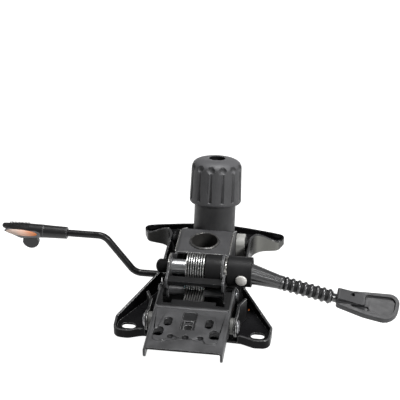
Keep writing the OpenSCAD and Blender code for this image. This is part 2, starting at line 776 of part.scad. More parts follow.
// Pressed channel that carries the chair's back
module back_bracket() {
  cut_room = 1.5;
  cut_y = -84;
  notch_l = 8;
  notch_in = 23;
  notch_out = 32.5;
  groove_y = -97.5;
  groove_r = 3;
  groove_up = 1.4;
  dimple_r = 4;
  dimple_x = 15;
  dimple_y = back_bolt_y - 21;
  color("#3c3c3e") difference() {
    union() {
      pair() standing(flange_in, bracket_x) polygon(rounded(bracket_side));
      channel(bracket_x, bracket_z, 2 * bend_out, bracket_rear_y, bracket_front_y);
      translate([0, 0, bracket_z - over]) {
        linear_extrude(over + emboss_h / 2) polygon(rounded(emboss_corners));
        linear_extrude(over + emboss_h) polygon(rounded(inset(emboss_corners, emboss_h / 2)));
      }
    }
    // Front cut-out that the housing passes through
    translate([-lock_out - cut_room, cut_y, bracket_z - 2 * sheet])
      cube([lock_out + wall_out + 2 * cut_room, 40, 4 * sheet]);
    pair() translate([notch_in, cut_y - notch_l, bracket_z - 2 * sheet])
      cube([notch_out - notch_in, notch_l + over, 4 * sheet]);
    // Transverse groove that stiffens the web
    translate([-flange_in, groove_y, bracket_z + groove_up])
      rotate([0, 90, 0]) cylinder(h = 2 * flange_in, r = groove_r);
    // Dimples at the foot of the raised pressing
    for (k = [-1, 0, 1])
      translate([k * dimple_x, dimple_y, bracket_z + dimple_r - emboss_h / 2]) sphere(r = dimple_r);
    pair() {
      bar_x(flange_in - over, bracket_x + over, main_y, main_z, main_pin_d + 2 * run_fit);
      for (dy = [0, rivet_slot])
        bar_x(flange_in - over, bracket_x + over, rivet_y - dy, rivet_z, rivet_d + 2 * rivet_play);
      translate([flange_in - over, rivet_y - rivet_slot, rivet_z - rivet_d / 2 - rivet_play])
        cube([sheet + 2 * over, rivet_slot, rivet_d + 2 * rivet_play]);
      bar_x(flange_in - over, bracket_x + over, plate_pin_y, plate_pin_z, plate_pin_d);
      seated_hole(back_bolt_x, back_bolt_y, back_bolt_d, back_seat_l);
      seated_hole(tool_hole_x, tool_hole_y, tool_hole_d, tool_seat_l);
    }
    translate([-insert_w / 2, insert_y - insert_l / 2, bracket_z - sheet - over])
      cube([insert_w, insert_l, 2 * sheet + 2 * over]);
  }
}

// Threaded insert in the middle of the bracket web, with a sunk seat round its hole
module bracket_insert() {
  depth = 6;
  lip = 1.5;
  bore_d = 8.5;
  sunk = 1;
  bar = 2.5;
  bar_y = 2;
  hole_y = -6.5;
  color("#c2c2c4") translate([0, insert_y, 0]) difference() {
    union() {
      translate([-insert_w / 2, -insert_l / 2, bracket_z - sheet - over])
        cube([insert_w, insert_l, sheet + over - sunk]);
      translate([-insert_w / 2 - lip, -insert_l / 2 - lip, bracket_z - sheet - depth])
        cube([insert_w + 2 * lip, insert_l + 2 * lip, depth]);
      translate([-insert_w / 2, bar_y, bracket_z - sheet])
        cube([insert_w, bar, sheet]);
    }
    translate([0, hole_y, bracket_z - sheet - depth - over]) cylinder(h = depth + 2 * sheet, d = bore_d);
    translate([-bore_d / 2, hole_y - insert_w / 2, bracket_z - sheet])
      cube([bore_d, insert_w, sheet + over]);
  }
}

// Plates that swing with the back bracket, slotted for the lock axle
module moving_plates() {
  margin = 5;
  half = axle_d / 2 + move_gap;
  end_room = 0.1;
  outer_r = slot_r + half + margin;
  inner_r = slot_r - half;
  from_a = slot_a - 1;
  to_a = slot_a + back_travel + 1;
  tail_z = main_z + lobe_r - 1.5;
  color("#c4c4c6") for (k = [0 : plate_count - 1]) {
    x0 = plate_x + k * plate_pitch + plate_pitch / 2;
    difference() {
      standing(x0, x0 + plate_t) difference() {
        union() {
          translate([main_y, main_z]) circle(lobe_r);
          translate([main_y, main_z]) polygon(concat([[0, 0]], [
            for (k = [0 : 10])
              let (a = from_a - 13 + (to_a - from_a + 22) * k / 10)
              outer_r * [cos(a), sin(a)]
          ]));
          polygon(rounded([
            [main_y + 2, main_z - lobe_r + 1, 2], [main_y + 2, tail_z, 2], [plate_pin_y + 16, tail_z, 4],
            [plate_pin_y, plate_pin_z + 6, 3], [plate_pin_y - 6, plate_pin_z + 6, 5.5],
            [plate_pin_y - 6, plate_pin_z - 6, 5.5]
          ]));
        }
        // Arc slot that the lock axle runs in
        translate([main_y, main_z]) polygon(concat(
          [for (k = [0 : 8]) let (a = from_a + (to_a - from_a) * k / 8) (slot_r + half) * [cos(a), sin(a)]],
          [for (k = [8 : -1 : 0]) let (a = from_a + (to_a - from_a) * k / 8) inner_r * [cos(a), sin(a)]]
        ));
        for (a = [from_a, to_a])
          translate([main_y + slot_r * cos(a), main_z + slot_r * sin(a)]) circle(half + end_room);
      }
      bar_x(x0 - over, x0 + plate_t + over, main_y, main_z, main_pin_d + 2 * run_fit);
      bar_x(x0 - over, x0 + plate_t + over, plate_pin_y, plate_pin_z, plate_pin_d);
    }
  }
}

// Cross pin of the back bracket that carries the swinging plates
module plate_pin() {
  color("#9a9a9c") bar_x(-bracket_x, bracket_x, plate_pin_y, plate_pin_z, plate_pin_d);
}
// Teal nylon bushes beside the swinging plates
module plate_bushes() {
  bush_l = 6;
  color("#3a8f8f") for (x0 = [plate_x - bush_l, plate_end_x + seat_gap]) difference() {
    bar_x(x0, x0 + bush_l, plate_pin_y, plate_pin_z, plate_pin_d + 5);
    bar_x(x0 - over, x0 + bush_l + over, plate_pin_y, plate_pin_z, plate_pin_d);
  }
}

// Steel tongue and cam inside the lock lever
module lever_core() {
  color("#9b9b9d") difference() {
    union() {
      on_lever() rotate([90, 0, 0]) cylinder(h = core_w, d = cam_d, center = true);
      on_lever() translate([0, -core_w / 2, -core_h / 2]) cube([boot_l + core_end, core_w, core_h]);
    }
    translate([cam_x, axle_y + cup_d, axle_z]) rotate([90, 0, 0])
      cylinder(h = 2 * cup_d, d = cam_pin_d + 2 * run_fit);
  }
}

boot_start = 5.5;
boot_end_d = 14.6;
core_room = 0.2;
stem_d = 11.5;
stem_l = rib_count * rib_pitch;
neck_l = 8;
neck_d = 9.5;
stem_end = boot_start + boot_l + stem_l;

// Tapered, fluted boot and ribbed stem of the lock lever
module lever_boot() {
  rib_share = 0.55;
  rib_r = 0.9;
  flutes = 6;
  flute_r = 2.4;
  flute_out = 0.8;
  taper = atan2((boot_d - boot_end_d) / 2, boot_l);
  color("#4b4b4d") on_lever() difference() {
    union() {
      difference() {
        translate([boot_start, 0, 0]) rotate([0, 90, 0]) cylinder(h = boot_l, d1 = boot_d, d2 = boot_end_d);
        for (k = [0 : flutes - 1])
          rotate([360 / flutes * k + 50, 0, 0]) translate([boot_start, 0, boot_d / 2 + flute_out])
            rotate([0, 90 + taper, 0]) translate([0, 0, -over]) cylinder(h = boot_l - 3, r = flute_r);
      }
      translate([boot_start + boot_l - over, 0, 0])
        rotate([0, 90, 0]) cylinder(h = stem_l + over, d = stem_d);
      translate([stem_end - over, 0, 0]) rotate([0, 90, 0]) cylinder(h = neck_l + over, d = neck_d);
      for (k = [0 : rib_count - 1])
        translate([boot_start + boot_l + (k + 0.25) * rib_pitch, 0, 0]) rotate([0, 90, 0])
          rotate_extrude() polygon(rounded([
            [0, 0, 0.1], [rib_d / 2, 0, rib_r], [rib_d / 2, rib_pitch * rib_share, rib_r],
            [0, rib_pitch * rib_share, 0.1]
          ]));
    }
    // Socket for the steel tongue
    translate([0, -core_w / 2 - core_room, -core_h / 2 - core_room])
      cube([boot_l + core_end + core_room, core_w + 2 * core_room, core_h + 2 * core_room]);
    // Room for the cam
    rotate([90, 0, 0]) cylinder(h = core_w + 2 * core_room, d = cam_d + 2 * core_room, center = true);
  }
}

// Spoon-shaped paddle at the end of the lock lever, with its socket block
module lock_paddle() {
  roll = 15;
  lift = lever_slope - 5;
  t = 8;
  pan = 3;
  trough = 5;
  block_l = 28;
  block_h = 5.5;
  block_w = 13;
  half_w = paddle_w / 2;
  start = stem_end + neck_l + core_room;
  color("#4b4b4d") on_lever() translate([start, 0, 0])
    rotate([0, -lift, 0]) rotate([roll, 0, 0]) difference() {
    union() {
      translate([0, 0, -t / 2]) linear_extrude(t) polygon(rounded([
        [0, -8, 3], [block_l, 4 - half_w, 30], [paddle_l - 2, -half_w - 1, 15],
        [paddle_l, half_w - 7.5, 10], [block_l - 4, 10, 20], [0, 8, 3]
      ]));
      // Socket block, which slopes down to the spoon
      translate([0, 8, 0]) rotate([90, 0, 0]) linear_extrude(block_w) polygon(rounded([
        [0, -t / 2, 0.5], [block_l, -t / 2, 0.5], [block_l, t / 2 - 0.5, 1], [0, t / 2 + block_h, 2]
      ]));
    }
    // Recessed pan of the spoon
    translate([0, 0, t / 2 - pan]) linear_extrude(t) polygon(rounded([
      [block_l + 1, 8 - half_w, 5], [paddle_l - 6, 3.5 - half_w, 11],
      [paddle_l - 4.5, half_w - 12, 6], [block_l + 1, 7, 3]
    ]));
    // Trough between the socket block and the near rim
    translate([0, 0, t / 2 - trough]) linear_extrude(t) polygon(rounded([
      [9, -6.5, 1], [block_l + 5, 7.5 - half_w, 3], [block_l + 5, -5.3, 2]
    ]));
    // Latch hole of the socket
    translate([block_l - 12, 4, 0]) cylinder(h = t + block_h, d = 3.6);
  }
}

bend_r = 14;
rod_rise = atan2(rod_outer_z - rod_z, rod_bend_in_x - rod_bend_out_x);
bend_cut = bend_r * tan(rod_rise / 2);
rod_in_x = 10;
leaf_l = 42;
leaf_d = 15;
leaf_tip_d = 6;
leaf_mid = leaf_l / 2 + 1;
socket_out_x = grip_end_x + leaf_l;
rod_grip_l = 18;
rod_out_x = socket_out_x + socket_l - rod_grip_l;

bend_steps = 6;
rod_sides = 20;
// Stations of the rod in its own plane: X, Z and the climb of the rod there
rod_path = concat(
  [[rod_in_x, rod_z, 0]],
  [for (k = [0 : bend_steps])
    let (a = rod_rise * k / bend_steps)
    [rod_bend_in_x + bend_cut - bend_r * sin(a), rod_z + bend_r * (1 - cos(a)), a]],
  [for (k = [bend_steps : -1 : 0])
    let (a = rod_rise * k / bend_steps)
    [rod_bend_out_x - bend_cut + bend_r * sin(a), rod_outer_z - bend_r * (1 - cos(a)), a]],
  [[rod_out_x, rod_outer_z, 0]]
);

// Bent rod that opens the gas-lift valve
module height_rod() {
  points = [
    for (st = rod_path, j = [0 : rod_sides - 1])
      let (s = 360 * j / rod_sides, r = rod_d / 2)
      [st[0] + r * cos(s) * sin(st[2]), rod_y + r * sin(s), st[1] + r * cos(s) * cos(st[2])]
  ];
  last = (len(rod_path) - 1) * rod_sides;
  sides = [
    for (i = [0 : len(rod_path) - 2], j = [0 : rod_sides - 1])
      let (a = i * rod_sides + j, b = i * rod_sides + (j + 1) % rod_sides)
      for (tri = [[a, b + rod_sides, b], [a, a + rod_sides, b + rod_sides]]) tri
  ];
  caps = [
    for (j = [1 : rod_sides - 2]) for (tri = [[0, j, j + 1], [last, last + j + 1, last + j]]) tri
  ];
  tongue_x = -14;
  tongue_l = 30;
  tongue_w = 24;
  tongue_t = 3;
  color("#232324") {
    difference() {
      polyhedron(points, concat(sides, caps));
      translate([rod_pivot_x, rod_y + rod_d, rod_z])
        rotate([90, 0, 0]) cylinder(h = 2 * rod_d, d = rod_pivot_d, $fn = 24);
    }
    // Flattened tongue that lies under the valve
    translate([tongue_x, rod_y - tongue_t, rod_z - tongue_t / 2]) cube([tongue_l, tongue_w, tongue_t]);
  }
}

// Solid of the leaf-shaped part of the grip
module leaf() {
  tip_up = 4;
  hull() {
    translate([socket_out_x, rod_y, rod_outer_z]) rotate([0, 90, 0]) cylinder(h = 4, d = socket_d, $fn = 32);
    translate([grip_end_x + leaf_mid, rod_y, rod_outer_z]) sphere(d = leaf_d, $fn = 32);
    translate([grip_end_x + leaf_tip_d / 2, rod_y, rod_outer_z + tip_up]) sphere(d = leaf_tip_d, $fn = 24);
  }
}
// Space that the inlay takes up in the near side of the leaf
module inlay_space() {
  half_l = 15;
  half_h = 3.6;
  floor_y = 2.4;
  tilt = 6;
  translate([grip_end_x + leaf_mid - 1, rod_y - floor_y, rod_outer_z]) rotate([90, tilt, 0])
    linear_extrude(leaf_d) polygon(rounded([
      [-half_l, 0, 1], [0, -half_h, 12], [half_l, -0.5, 1], [0, half_h, 12]
    ]));
}

// Moulded grip on the outer end of the height lever
module height_grip() {
  tab_w = 16;
  tab_l = 19;
  tab_t = 5;
  draft = 1.5;
  color("#2a2a2c") difference() {
    union() {
      translate([socket_out_x - over, rod_y, rod_outer_z]) rotate([0, 90, 0])
        cylinder(h = socket_l + over, d1 = socket_d, d2 = socket_d - draft);
      leaf();
      // Finger tab under the leaf
      translate([socket_out_x - 4, rod_y + tab_t / 2, rod_outer_z]) rotate([90, 0, 0])
        linear_extrude(tab_t) polygon(rounded([
          [-tab_w, 0, 1], [-tab_w + 3, -tab_l, 7], [0, -tab_l, 7], [0, 0, 1]
        ]));
    }
    bar_x(rod_out_x, socket_out_x + socket_l + over, rod_y, rod_outer_z, rod_d);
    inlay_space();
  }
}
// Orange and white leaf inlay, flush with the grip
module grip_inlay() {
  color("#e08a4a") intersection() {
    leaf();
    inlay_space();
  }
}

// Fluted knob that sets the spring tension
module tension_knob() {
  top_d = knob_d - 2;
  dome_h = 9;
  dome_run = 14;
  flute_r = 1.8;
  scoop_r = 5;
  bore_d = tube_d + 2 * move_gap;
  ledge = tube_l + seat_gap;
  hole_d = 17.5;
  color("#48484a") on_tube() translate([0, 0, knob_start]) difference() {
    rotate_extrude() polygon(concat([[0, 0.01], [knob_d / 2 - 1.5, 0.01], [knob_d / 2, 2]], [
      for (k = [0 : 6])
        [top_d / 2 - dome_run * (1 - cos(15 * k)), knob_h - dome_h + dome_h * sin(15 * k)]
    ], [[0, knob_h]]));
    translate([0, 0, -over]) cylinder(h = ledge - knob_start + over, d = bore_d);
    translate([0, 0, -over]) cylinder(h = knob_h - 8 + over, d = screw_d);
    translate([0, 0, knob_h - 5]) cylinder(h = 6, d = hole_d);
    for (k = [0 : knob_flutes - 1])
      rotate([0, 0, 360 / knob_flutes * (k + 0.5)]) {
        translate([knob_d / 2, 0, 5]) cylinder(h = knob_h, r = flute_r);
        // Scoop where the flute runs out into the dome
        translate([top_d / 2 + 2, 0, knob_h - dome_h + 1]) sphere(r = scoop_r);
      }
  }
}
// Screw that turns with the knob
module tension_screw() {
  color("#a0a0a2") on_tube() translate([0, 0, 6]) cylinder(h = knob_start + knob_h - 8 - 6, d = screw_d);
}
// Threaded plate that the screw draws along the tube
module nut_plate() {
  color("#7d7d80") on_tube() translate([0, 0, nut_low_t]) difference() {
    cylinder(h = nut_t, d = tube_id - 2 * move_gap);
    translate([0, 0, -over]) cylinder(h = nut_t + 2 * over, d = screw_d + 2 * run_fit);
  }
}
// Cup under the spring, with the stem that the seat plate pushes
module spring_cup() {
  cup_t = 4;
  stem_d = 12;
  color("#6c6c6f") on_tube() {
    translate([0, 0, cup_top_t - cup_t]) cylinder(h = cup_t, d = tube_id - 4 * move_gap - 2);
    translate([0, 0, stem_end_t]) cylinder(h = cup_top_t - cup_t - stem_end_t, d = stem_d);
  }
}

spring_mean_r = (spring_d - spring_wire) / 2;
spring_low = cup_top_t + seat_gap + spring_wire / 2;
spring_high = nut_low_t - seat_gap - spring_wire / 2;
spring_rise = (spring_high - spring_low) / spring_turns;
rings_per_turn = 8;
wire_sides = 6;
spring_rings = spring_turns * rings_per_turn;
echo(spring_least_gap = spring_rise - spring_wire);

// Point of the wire at ring i and side j
function wire_point(i, j) =
  let (a = 360 * i / rings_per_turn, s = 360 * j / wire_sides, r = spring_mean_r + spring_wire / 2 * cos(s))
  [r * cos(a), r * sin(a), spring_low + spring_rise * i / rings_per_turn + spring_wire / 2 * sin(s)];

// Compression spring inside the tube, one unbroken helical wire
module tension_spring() {
  points = [for (i = [0 : spring_rings], j = [0 : wire_sides - 1]) wire_point(i, j)];
  last = spring_rings * wire_sides;
  sides = [
    for (i = [0 : spring_rings - 1], j = [0 : wire_sides - 1])
      let (a = i * wire_sides + j, b = i * wire_sides + (j + 1) % wire_sides)
      for (tri = [[a, b, b + wire_sides], [a, b + wire_sides, a + wire_sides]]) tri
  ];
  caps = [
    for (j = [1 : wire_sides - 2]) for (tri = [[0, j + 1, j], [last, last + j, last + j + 1]]) tri
  ];
  color("#9c9ca0") on_tube() polyhedron(points, concat(sides, caps));
}

seat_plate();
seat_ear_left();
seat_ear_right();
spring_post();
front_block_left();
front_block_right();
rear_rivets();
rear_washers();
housing();
gas_lift_sleeve();
spring_tube();
front_pivot_pin();
front_pin_clips();
main_pivot_pin();
main_pin_clips();
pivot_bushes();
lock_axle();
axle_cap();
axle_washer();
zinc_sleeve();
fixed_plates();
plate_strap();
axle_spacer();
pressure_washer();
cam_cup();
cam_pin();
rod_bush();
rod_pivot_pin();
back_bracket();
bracket_insert();
moving_plates();
plate_pin();
plate_bushes();
lever_core();
lever_boot();
lock_paddle();
height_rod();
height_grip();
grip_inlay();
tension_knob();
tension_screw();
nut_plate();
spring_cup();
tension_spring();
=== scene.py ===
"""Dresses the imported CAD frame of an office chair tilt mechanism."""

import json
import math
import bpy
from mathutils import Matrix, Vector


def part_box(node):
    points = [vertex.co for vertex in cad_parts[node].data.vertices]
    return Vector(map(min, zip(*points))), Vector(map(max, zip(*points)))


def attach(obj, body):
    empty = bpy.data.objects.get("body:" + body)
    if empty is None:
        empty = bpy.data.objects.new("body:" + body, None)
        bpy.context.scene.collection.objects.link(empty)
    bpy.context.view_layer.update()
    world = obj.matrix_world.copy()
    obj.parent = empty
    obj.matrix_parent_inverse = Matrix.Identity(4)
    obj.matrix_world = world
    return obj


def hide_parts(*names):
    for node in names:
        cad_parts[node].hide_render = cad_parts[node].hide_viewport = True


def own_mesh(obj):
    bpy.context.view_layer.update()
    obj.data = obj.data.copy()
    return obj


bl_info = {
    "name": "Chair tilt mechanism",
    "version": (1, 0, 0),
    "blender": (4, 5, 0),
    "location": "View3D > Sidebar > Tilt",
    "description": "Finishes the pieces of an office chair tilt mechanism on its CAD frame",
    "category": "Object",
}

import bpy
from mathutils import Vector

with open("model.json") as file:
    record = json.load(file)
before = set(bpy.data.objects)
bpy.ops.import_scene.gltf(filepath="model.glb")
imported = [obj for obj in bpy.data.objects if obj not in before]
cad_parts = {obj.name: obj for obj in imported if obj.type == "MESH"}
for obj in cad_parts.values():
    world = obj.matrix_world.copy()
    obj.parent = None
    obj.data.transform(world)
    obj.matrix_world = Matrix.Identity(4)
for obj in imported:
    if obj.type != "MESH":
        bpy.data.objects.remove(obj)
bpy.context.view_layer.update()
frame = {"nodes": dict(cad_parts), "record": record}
MM = 0.001
# The spring's tube: its foot on the web, its lean and its axis
TUBE_FOOT = Vector((5, 46.5, 54)) * MM
LEAN = math.radians(17)
TUBE_AXIS = Vector((0, math.sin(LEAN), math.cos(LEAN)))
# The grip's leaf: centres and radii in mm of the balls that it is drawn round
LEAF = (((-217.5, -15, 62.5), 3.2), ((-198, -14.5, 59.5), 7.8), ((-177, -14, 61), 7.3))


# Properties

def colour(name, text, value):
    return bpy.props.FloatVectorProperty(
        name=name, description=text, subtype="COLOR", size=3, min=0, max=1, default=value
    )


def length(name, text, value):
    return bpy.props.FloatProperty(
        name=name, description=text, subtype="DISTANCE", unit="LENGTH", min=0, precision=5, default=value
    )


class TiltFinishes(bpy.types.PropertyGroup):
    coat: colour("Coat", "Black coat of the pressed sheet", (0.050, 0.050, 0.052))
    dark: colour("Dark coat", "Black coat of the cup, the spacer and the strap", (0.010, 0.010, 0.0105))
    enamel: colour("Enamel", "Glossy black enamel of the seat tray", (0.006, 0.006, 0.0065))
    # Painted highlight: the pale tone laid on the near faces of the front arms stands in for a reflection of
    # the lamps.
    painted_arm_sheen: colour("Painted_sheen", "Pale primer that shows on the front arms", (0.21, 0.21, 0.195))
    weld: colour("Weld", "Bright weld beads", (0.66, 0.65, 0.62))
    worn: colour("Worn edge", "Steel that shows where the coat is worn", (0.45, 0.45, 0.44))
    zinc: colour("Zinc", "Zinc-plated steel", (0.50, 0.51, 0.52))
    plate: colour("Plates", "Bright steel of the friction plates", (0.58, 0.58, 0.57))
    bare: colour("Bare steel", "Oiled steel of pins and cups", (0.30, 0.30, 0.31))
    knob: colour("Knob", "Plastic of the tension knob", (0.040, 0.040, 0.042))
    lever: colour("Lever", "Plastic of the lock lever", (0.048, 0.048, 0.050))
    grip: colour("Grip", "Plastic of the grip and the cap", (0.010, 0.010, 0.0105))
    rod: colour("Rod", "Black coat of the height rod", (0.006, 0.006, 0.0065))
    oiled: colour("Oiled bore", "Oiled steel in the bore of the gas-lift sleeve", (0.135, 0.131, 0.125))
    nylon: colour("Nylon", "Nylon of the washers, before its wear", (0.70, 0.70, 0.67))
    block: colour("Block", "Grey nylon of the front bearing blocks", (0.31, 0.31, 0.295))
    teal: colour("Teal", "Nylon of the plate bushes", (0.03, 0.22, 0.28))
    blade: colour("Blade", "Grey plastic round the grip's inlay", (0.13, 0.13, 0.135))
    inlay: colour("Inlay", "Strong end of the grip's inlay", (0.85, 0.24, 0.05))
    inlay_pale: colour("Inlay, pale", "Pale end of the grip's inlay", (0.92, 0.72, 0.62))


class TiltEdges(bpy.types.PropertyGroup):
    sheet: length("Sheet edge", "Rounding of cut sheet edges", 0.45 * MM)
    turned: length("Turned edge", "Rounding of turned steel pieces", 0.4 * MM)
    plate: length("Plate edge", "Rounding of the friction plates", 0.15 * MM)
    moulded: length("Moulded edge", "Rounding of moulded pieces", 0.7 * MM)


class TiltDetails(bpy.types.PropertyGroup):
    weld_r: length("Weld bead", "Radius of the weld beads", 1.8 * MM)
    seam_r: length("Seam bead", "Radius of the beads along the web", 0.55 * MM)
    rib: length("Grip rib", "Width of a rib on the grip", 0.7 * MM)
    pitch: length("Rib pitch", "Distance between the ribs on the grip", 1.6 * MM)
    dab: length("Paint dab", "Radius of the inspector's paint dab", 1.5 * MM)
    boot_r: length("Boot rib", "Radius over the ribs of the lock lever's boot", 8.2 * MM)
    boot_rib: length("Rib round", "Radius of the round of a rib on the boot", 2.3 * MM)
    boot_d: length("Boot", "Width of the boot at the cup", 22.8 * MM)
    boot_end_d: length("Boot end", "Width of the boot's slim end", 14.6 * MM)
    stem_d: length("Stem", "Width of the boot's stem between its ribs", 12.8 * MM)
    neck_d: length("Neck", "Width of the boot's neck at the paddle", 9.5 * MM)
    knob_hole: length("Knob hole", "Radius round the dark hole of the knob", 9 * MM)
    wire: length("Spring wire", "Diameter of the spring's wire", 4.6 * MM)
    coil_r: length("Coil", "Mean radius of the spring", 14.2 * MM)
    turns: bpy.props.IntProperty(name="Turns", description="Turns of the spring", min=1, default=6)


class TiltStage(bpy.types.PropertyGroup):
    eye: bpy.props.FloatVectorProperty(
        name="Camera", description="Place of the camera", subtype="TRANSLATION", unit="LENGTH",
        default=(0.1646, -1.2533, 0.8918),
    )
    target: bpy.props.FloatVectorProperty(
        name="Target", description="Point in the middle of the picture", subtype="TRANSLATION", unit="LENGTH",
        default=(-0.0119, 0.0512, 0.0742),
    )
    lens: bpy.props.FloatProperty(name="Lens", description="Focal length", unit="CAMERA", default=126)
    floor: length("Floor", "Side of the square floor", 40.0)
    drop: length("Drop", "Depth of the floor below the seat face, clear of the tilted lever", 20 * MM)


# Materials

class Nodes:
    """A material's node tree, with short ways to add and join nodes."""

    def __init__(self, name):
        self.material = bpy.data.materials.new(name)
        self.material.use_nodes = True
        self.tree = self.material.node_tree
        self.tree.nodes.clear()
        self.shader = self.add("ShaderNodeBsdfPrincipled")
        out = self.add("ShaderNodeOutputMaterial")
        self.join(self.shader.outputs["BSDF"], out.inputs["Surface"])
        self.coordinates = self.add("ShaderNodeTexCoord")
        self.place = self.coordinates.outputs["Object"]

    def add(self, kind, **values):
        node = self.tree.nodes.new(kind)
        for key, value in values.items():
            setattr(node, key, value)
        return node

    def join(self, a, b):
        self.tree.links.new(a, b)

    def stretched(self, scale):
        node = self.add("ShaderNodeMapping")
        node.inputs["Scale"].default_value = scale
        self.join(self.place, node.inputs["Vector"])
        return node.outputs["Vector"]

    def noise(self, scale, detail=3.0, rough=0.55, vector=None):
        node = self.add("ShaderNodeTexNoise")
        node.inputs["Scale"].default_value = scale
        node.inputs["Detail"].default_value = detail
        node.inputs["Roughness"].default_value = rough
        self.join(vector or self.place, node.inputs["Vector"])
        return node.outputs["Fac"]

    def spread(self, value, low, high, to_low=0.0, to_high=1.0):
        node = self.add("ShaderNodeMapRange")
        for key, number in zip(("From Min", "From Max", "To Min", "To Max"), (low, high, to_low, to_high)):
            node.inputs[key].default_value = number
        self.join(value, node.inputs["Value"])
        return node.outputs["Result"]

    def maths(self, operation, a, b):
        node = self.add("ShaderNodeMath", operation=operation, use_clamp=True)
        self.join(a, node.inputs[0])
        self.join(b, node.inputs[1])
        return node.outputs["Value"]

    def times(self, a, b):
        return self.maths("MULTIPLY", a, b)

    def either(self, a, b):
        return self.maths("MAXIMUM", a, b)

    def axes(self, vector):
        node = self.add("ShaderNodeSeparateXYZ")
        self.join(vector, node.inputs[0])
        return node.outputs

    def mix(self, factor, a, b):
        node = self.add("ShaderNodeMix", data_type="RGBA")
        self.join(factor, node.inputs["Factor"])
        for socket, value in ((node.inputs[6], a), (node.inputs[7], b)):
            if isinstance(value, bpy.types.NodeSocket):
                self.join(value, socket)
            else:
                socket.default_value = (*value, 1)
        return node.outputs[2]

    def clouded(self, scale, base, dark, light):
        """A colour that drifts between a darker and a lighter share of its base."""
        cloud = self.spread(self.noise(scale, 4), 0.3, 0.7)
        return self.mix(cloud, tinted(base, dark), tinted(base, light))

    def paint(self, value):
        self.join(value, self.shader.inputs["Base Color"])

    def roughen(self, value, low, high):
        self.join(self.spread(value, 0.25, 0.75, low, high), self.shader.inputs["Roughness"])

    def bump(self, height, strength, depth):
        node = self.add("ShaderNodeBump")
        node.inputs["Strength"].default_value = strength
        node.inputs["Distance"].default_value = depth
        self.join(height, node.inputs["Height"])
        self.join(node.outputs["Normal"], self.shader.inputs["Normal"])


def tinted(base, share):
    return tuple(min(1.0, c * share) for c in base)


def coated_steel(name, base, rough, gloss=0.35, depth=0.25):
    m = Nodes(name)
    m.paint(m.clouded(38, base, 1 - depth, 1 + depth))
    m.roughen(m.noise(160, 3), rough - 0.07, rough + 0.1)
    m.shader.inputs["Specular IOR Level"].default_value = gloss
    m.bump(m.noise(900, 2), 0.16, 0.0002)
    return m.material


def worn_and_highlit_edge(name, base, worn, share, highlight_lift=2.4):
    """Edge of a coated sheet, rubbed through to the steel over a share of its length, and elsewhere made
    paler than the coat, a painted highlight.
    """
    m = Nodes(name)
    rubbed = m.spread(m.noise(330, 4), 0.60 - 0.25 * share, 0.72 - 0.25 * share)
    # Painted highlight: the coat along the edge is made paler by a share.
    m.paint(m.mix(rubbed, tinted(base, highlight_lift), worn))
    m.join(m.spread(rubbed, 0, 1, 0, 0.75), m.shader.inputs["Metallic"])
    m.roughen(m.noise(500, 3), 0.28, 0.46)
    m.bump(m.noise(1400, 2), 0.2, 0.0002)
    return m.material


def bright_steel(name, base, rough, grain=(40, 900, 900), metal=1.0):
    m = Nodes(name)
    drawn = m.noise(1.0, 4, 0.6, m.stretched(grain))
    m.paint(m.clouded(90, base, 0.72, 1.1))
    m.roughen(drawn, rough - 0.1, rough + 0.12)
    m.shader.inputs["Metallic"].default_value = metal
    m.bump(drawn, 0.25, 0.0002)
    return m.material


def moulded_plastic(name, base, rough, grain=1600, strength=0.35, gloss=0.4, painted_top_light=0.0):
    """Moulded plastic, paler by a share on its upper faces, a painted top light."""
    m = Nodes(name)
    skin = m.clouded(55, base, 0.84, 1.18)
    if painted_top_light:
        # Painted light: faces turned upwards are made paler.
        upward = m.spread(m.axes(m.coordinates.outputs["Normal"])["Z"], 0.35, 0.85)
        skin = m.mix(upward, skin, tinted(base, 1 + painted_top_light))
    m.paint(skin)
    m.roughen(m.noise(240, 3), rough - 0.06, rough + 0.1)
    m.shader.inputs["Specular IOR Level"].default_value = gloss
    m.bump(m.noise(grain, 3), strength, 0.00025)
    return m.material


def enamelled_steel(name, base, painted_arm_sheen):
    """Glossy enamel, with a painted highlight on the near faces of the front arms: the full pale tone on the
    right arm, a dim grey on the left.
    """
    m = Nodes(name)
    place = m.axes(m.place)
    normal = m.axes(m.coordinates.outputs["Normal"])
    # Painted highlight: the mask picks the near rims of the front arms, on faces turned towards the near
    # side.
    facing = m.spread(normal["Y"], -0.25, -0.75)
    near_rim = m.times(m.spread(place["Y"], 0.050, 0.066), m.spread(place["Y"], 0.090, 0.084))
    front = m.times(near_rim, facing)
    right = m.times(front, m.spread(place["X"], 0.040, 0.052))
    left = m.times(front, m.spread(place["X"], -0.040, -0.080))
    # Painted reflection: a dim grey of the pale tone on the left arm, the full pale tone on the right.
    enamel = m.mix(left, m.clouded(38, base, 0.8, 1.5), tinted(painted_arm_sheen, 0.22))
    m.paint(m.mix(right, enamel, painted_arm_sheen))
    m.roughen(m.noise(160, 3), 0.20, 0.34)
    m.shader.inputs["Specular IOR Level"].default_value = 0.08
    m.bump(m.noise(700, 2), 0.08, 0.0002)
    return m.material


def inlay_paint(name, strong, pale, low, high):
    m = Nodes(name)
    along = m.spread(m.axes(m.place)["X"], low, high)
    streak = m.noise(1.0, 3, 0.6, m.stretched((60, 900, 900)))
    fade = m.maths("ADD", along, m.spread(streak, 0.3, 0.7, -0.16, 0.16))
    m.paint(m.mix(fade, pale, strong))
    m.join(m.spread(streak, 0.2, 0.8, 0.28, 0.45), m.shader.inputs["Roughness"])
    m.bump(streak, 0.1, 0.0002)
    return m.material


def packed_steel(name, base, low, high):
    """Plate steel that is almost black where the plates lie in the pack: painted shade between the plates."""
    m = Nodes(name)
    steel = m.clouded(90, base, 0.72, 1.1)
    packed = m.spread(m.axes(m.place)["Y"], low, high)
    # Painted shade: past the band in Y the steel drops to a tenth of its tone.
    m.paint(m.mix(packed, steel, tinted(base, 0.10)))
    m.roughen(m.noise(300, 3), 0.30, 0.48)
    m.shader.inputs["Metallic"].default_value = 1.0
    m.bump(m.noise(900, 2), 0.15, 0.0002)
    return m.material


MATERIALS = {}


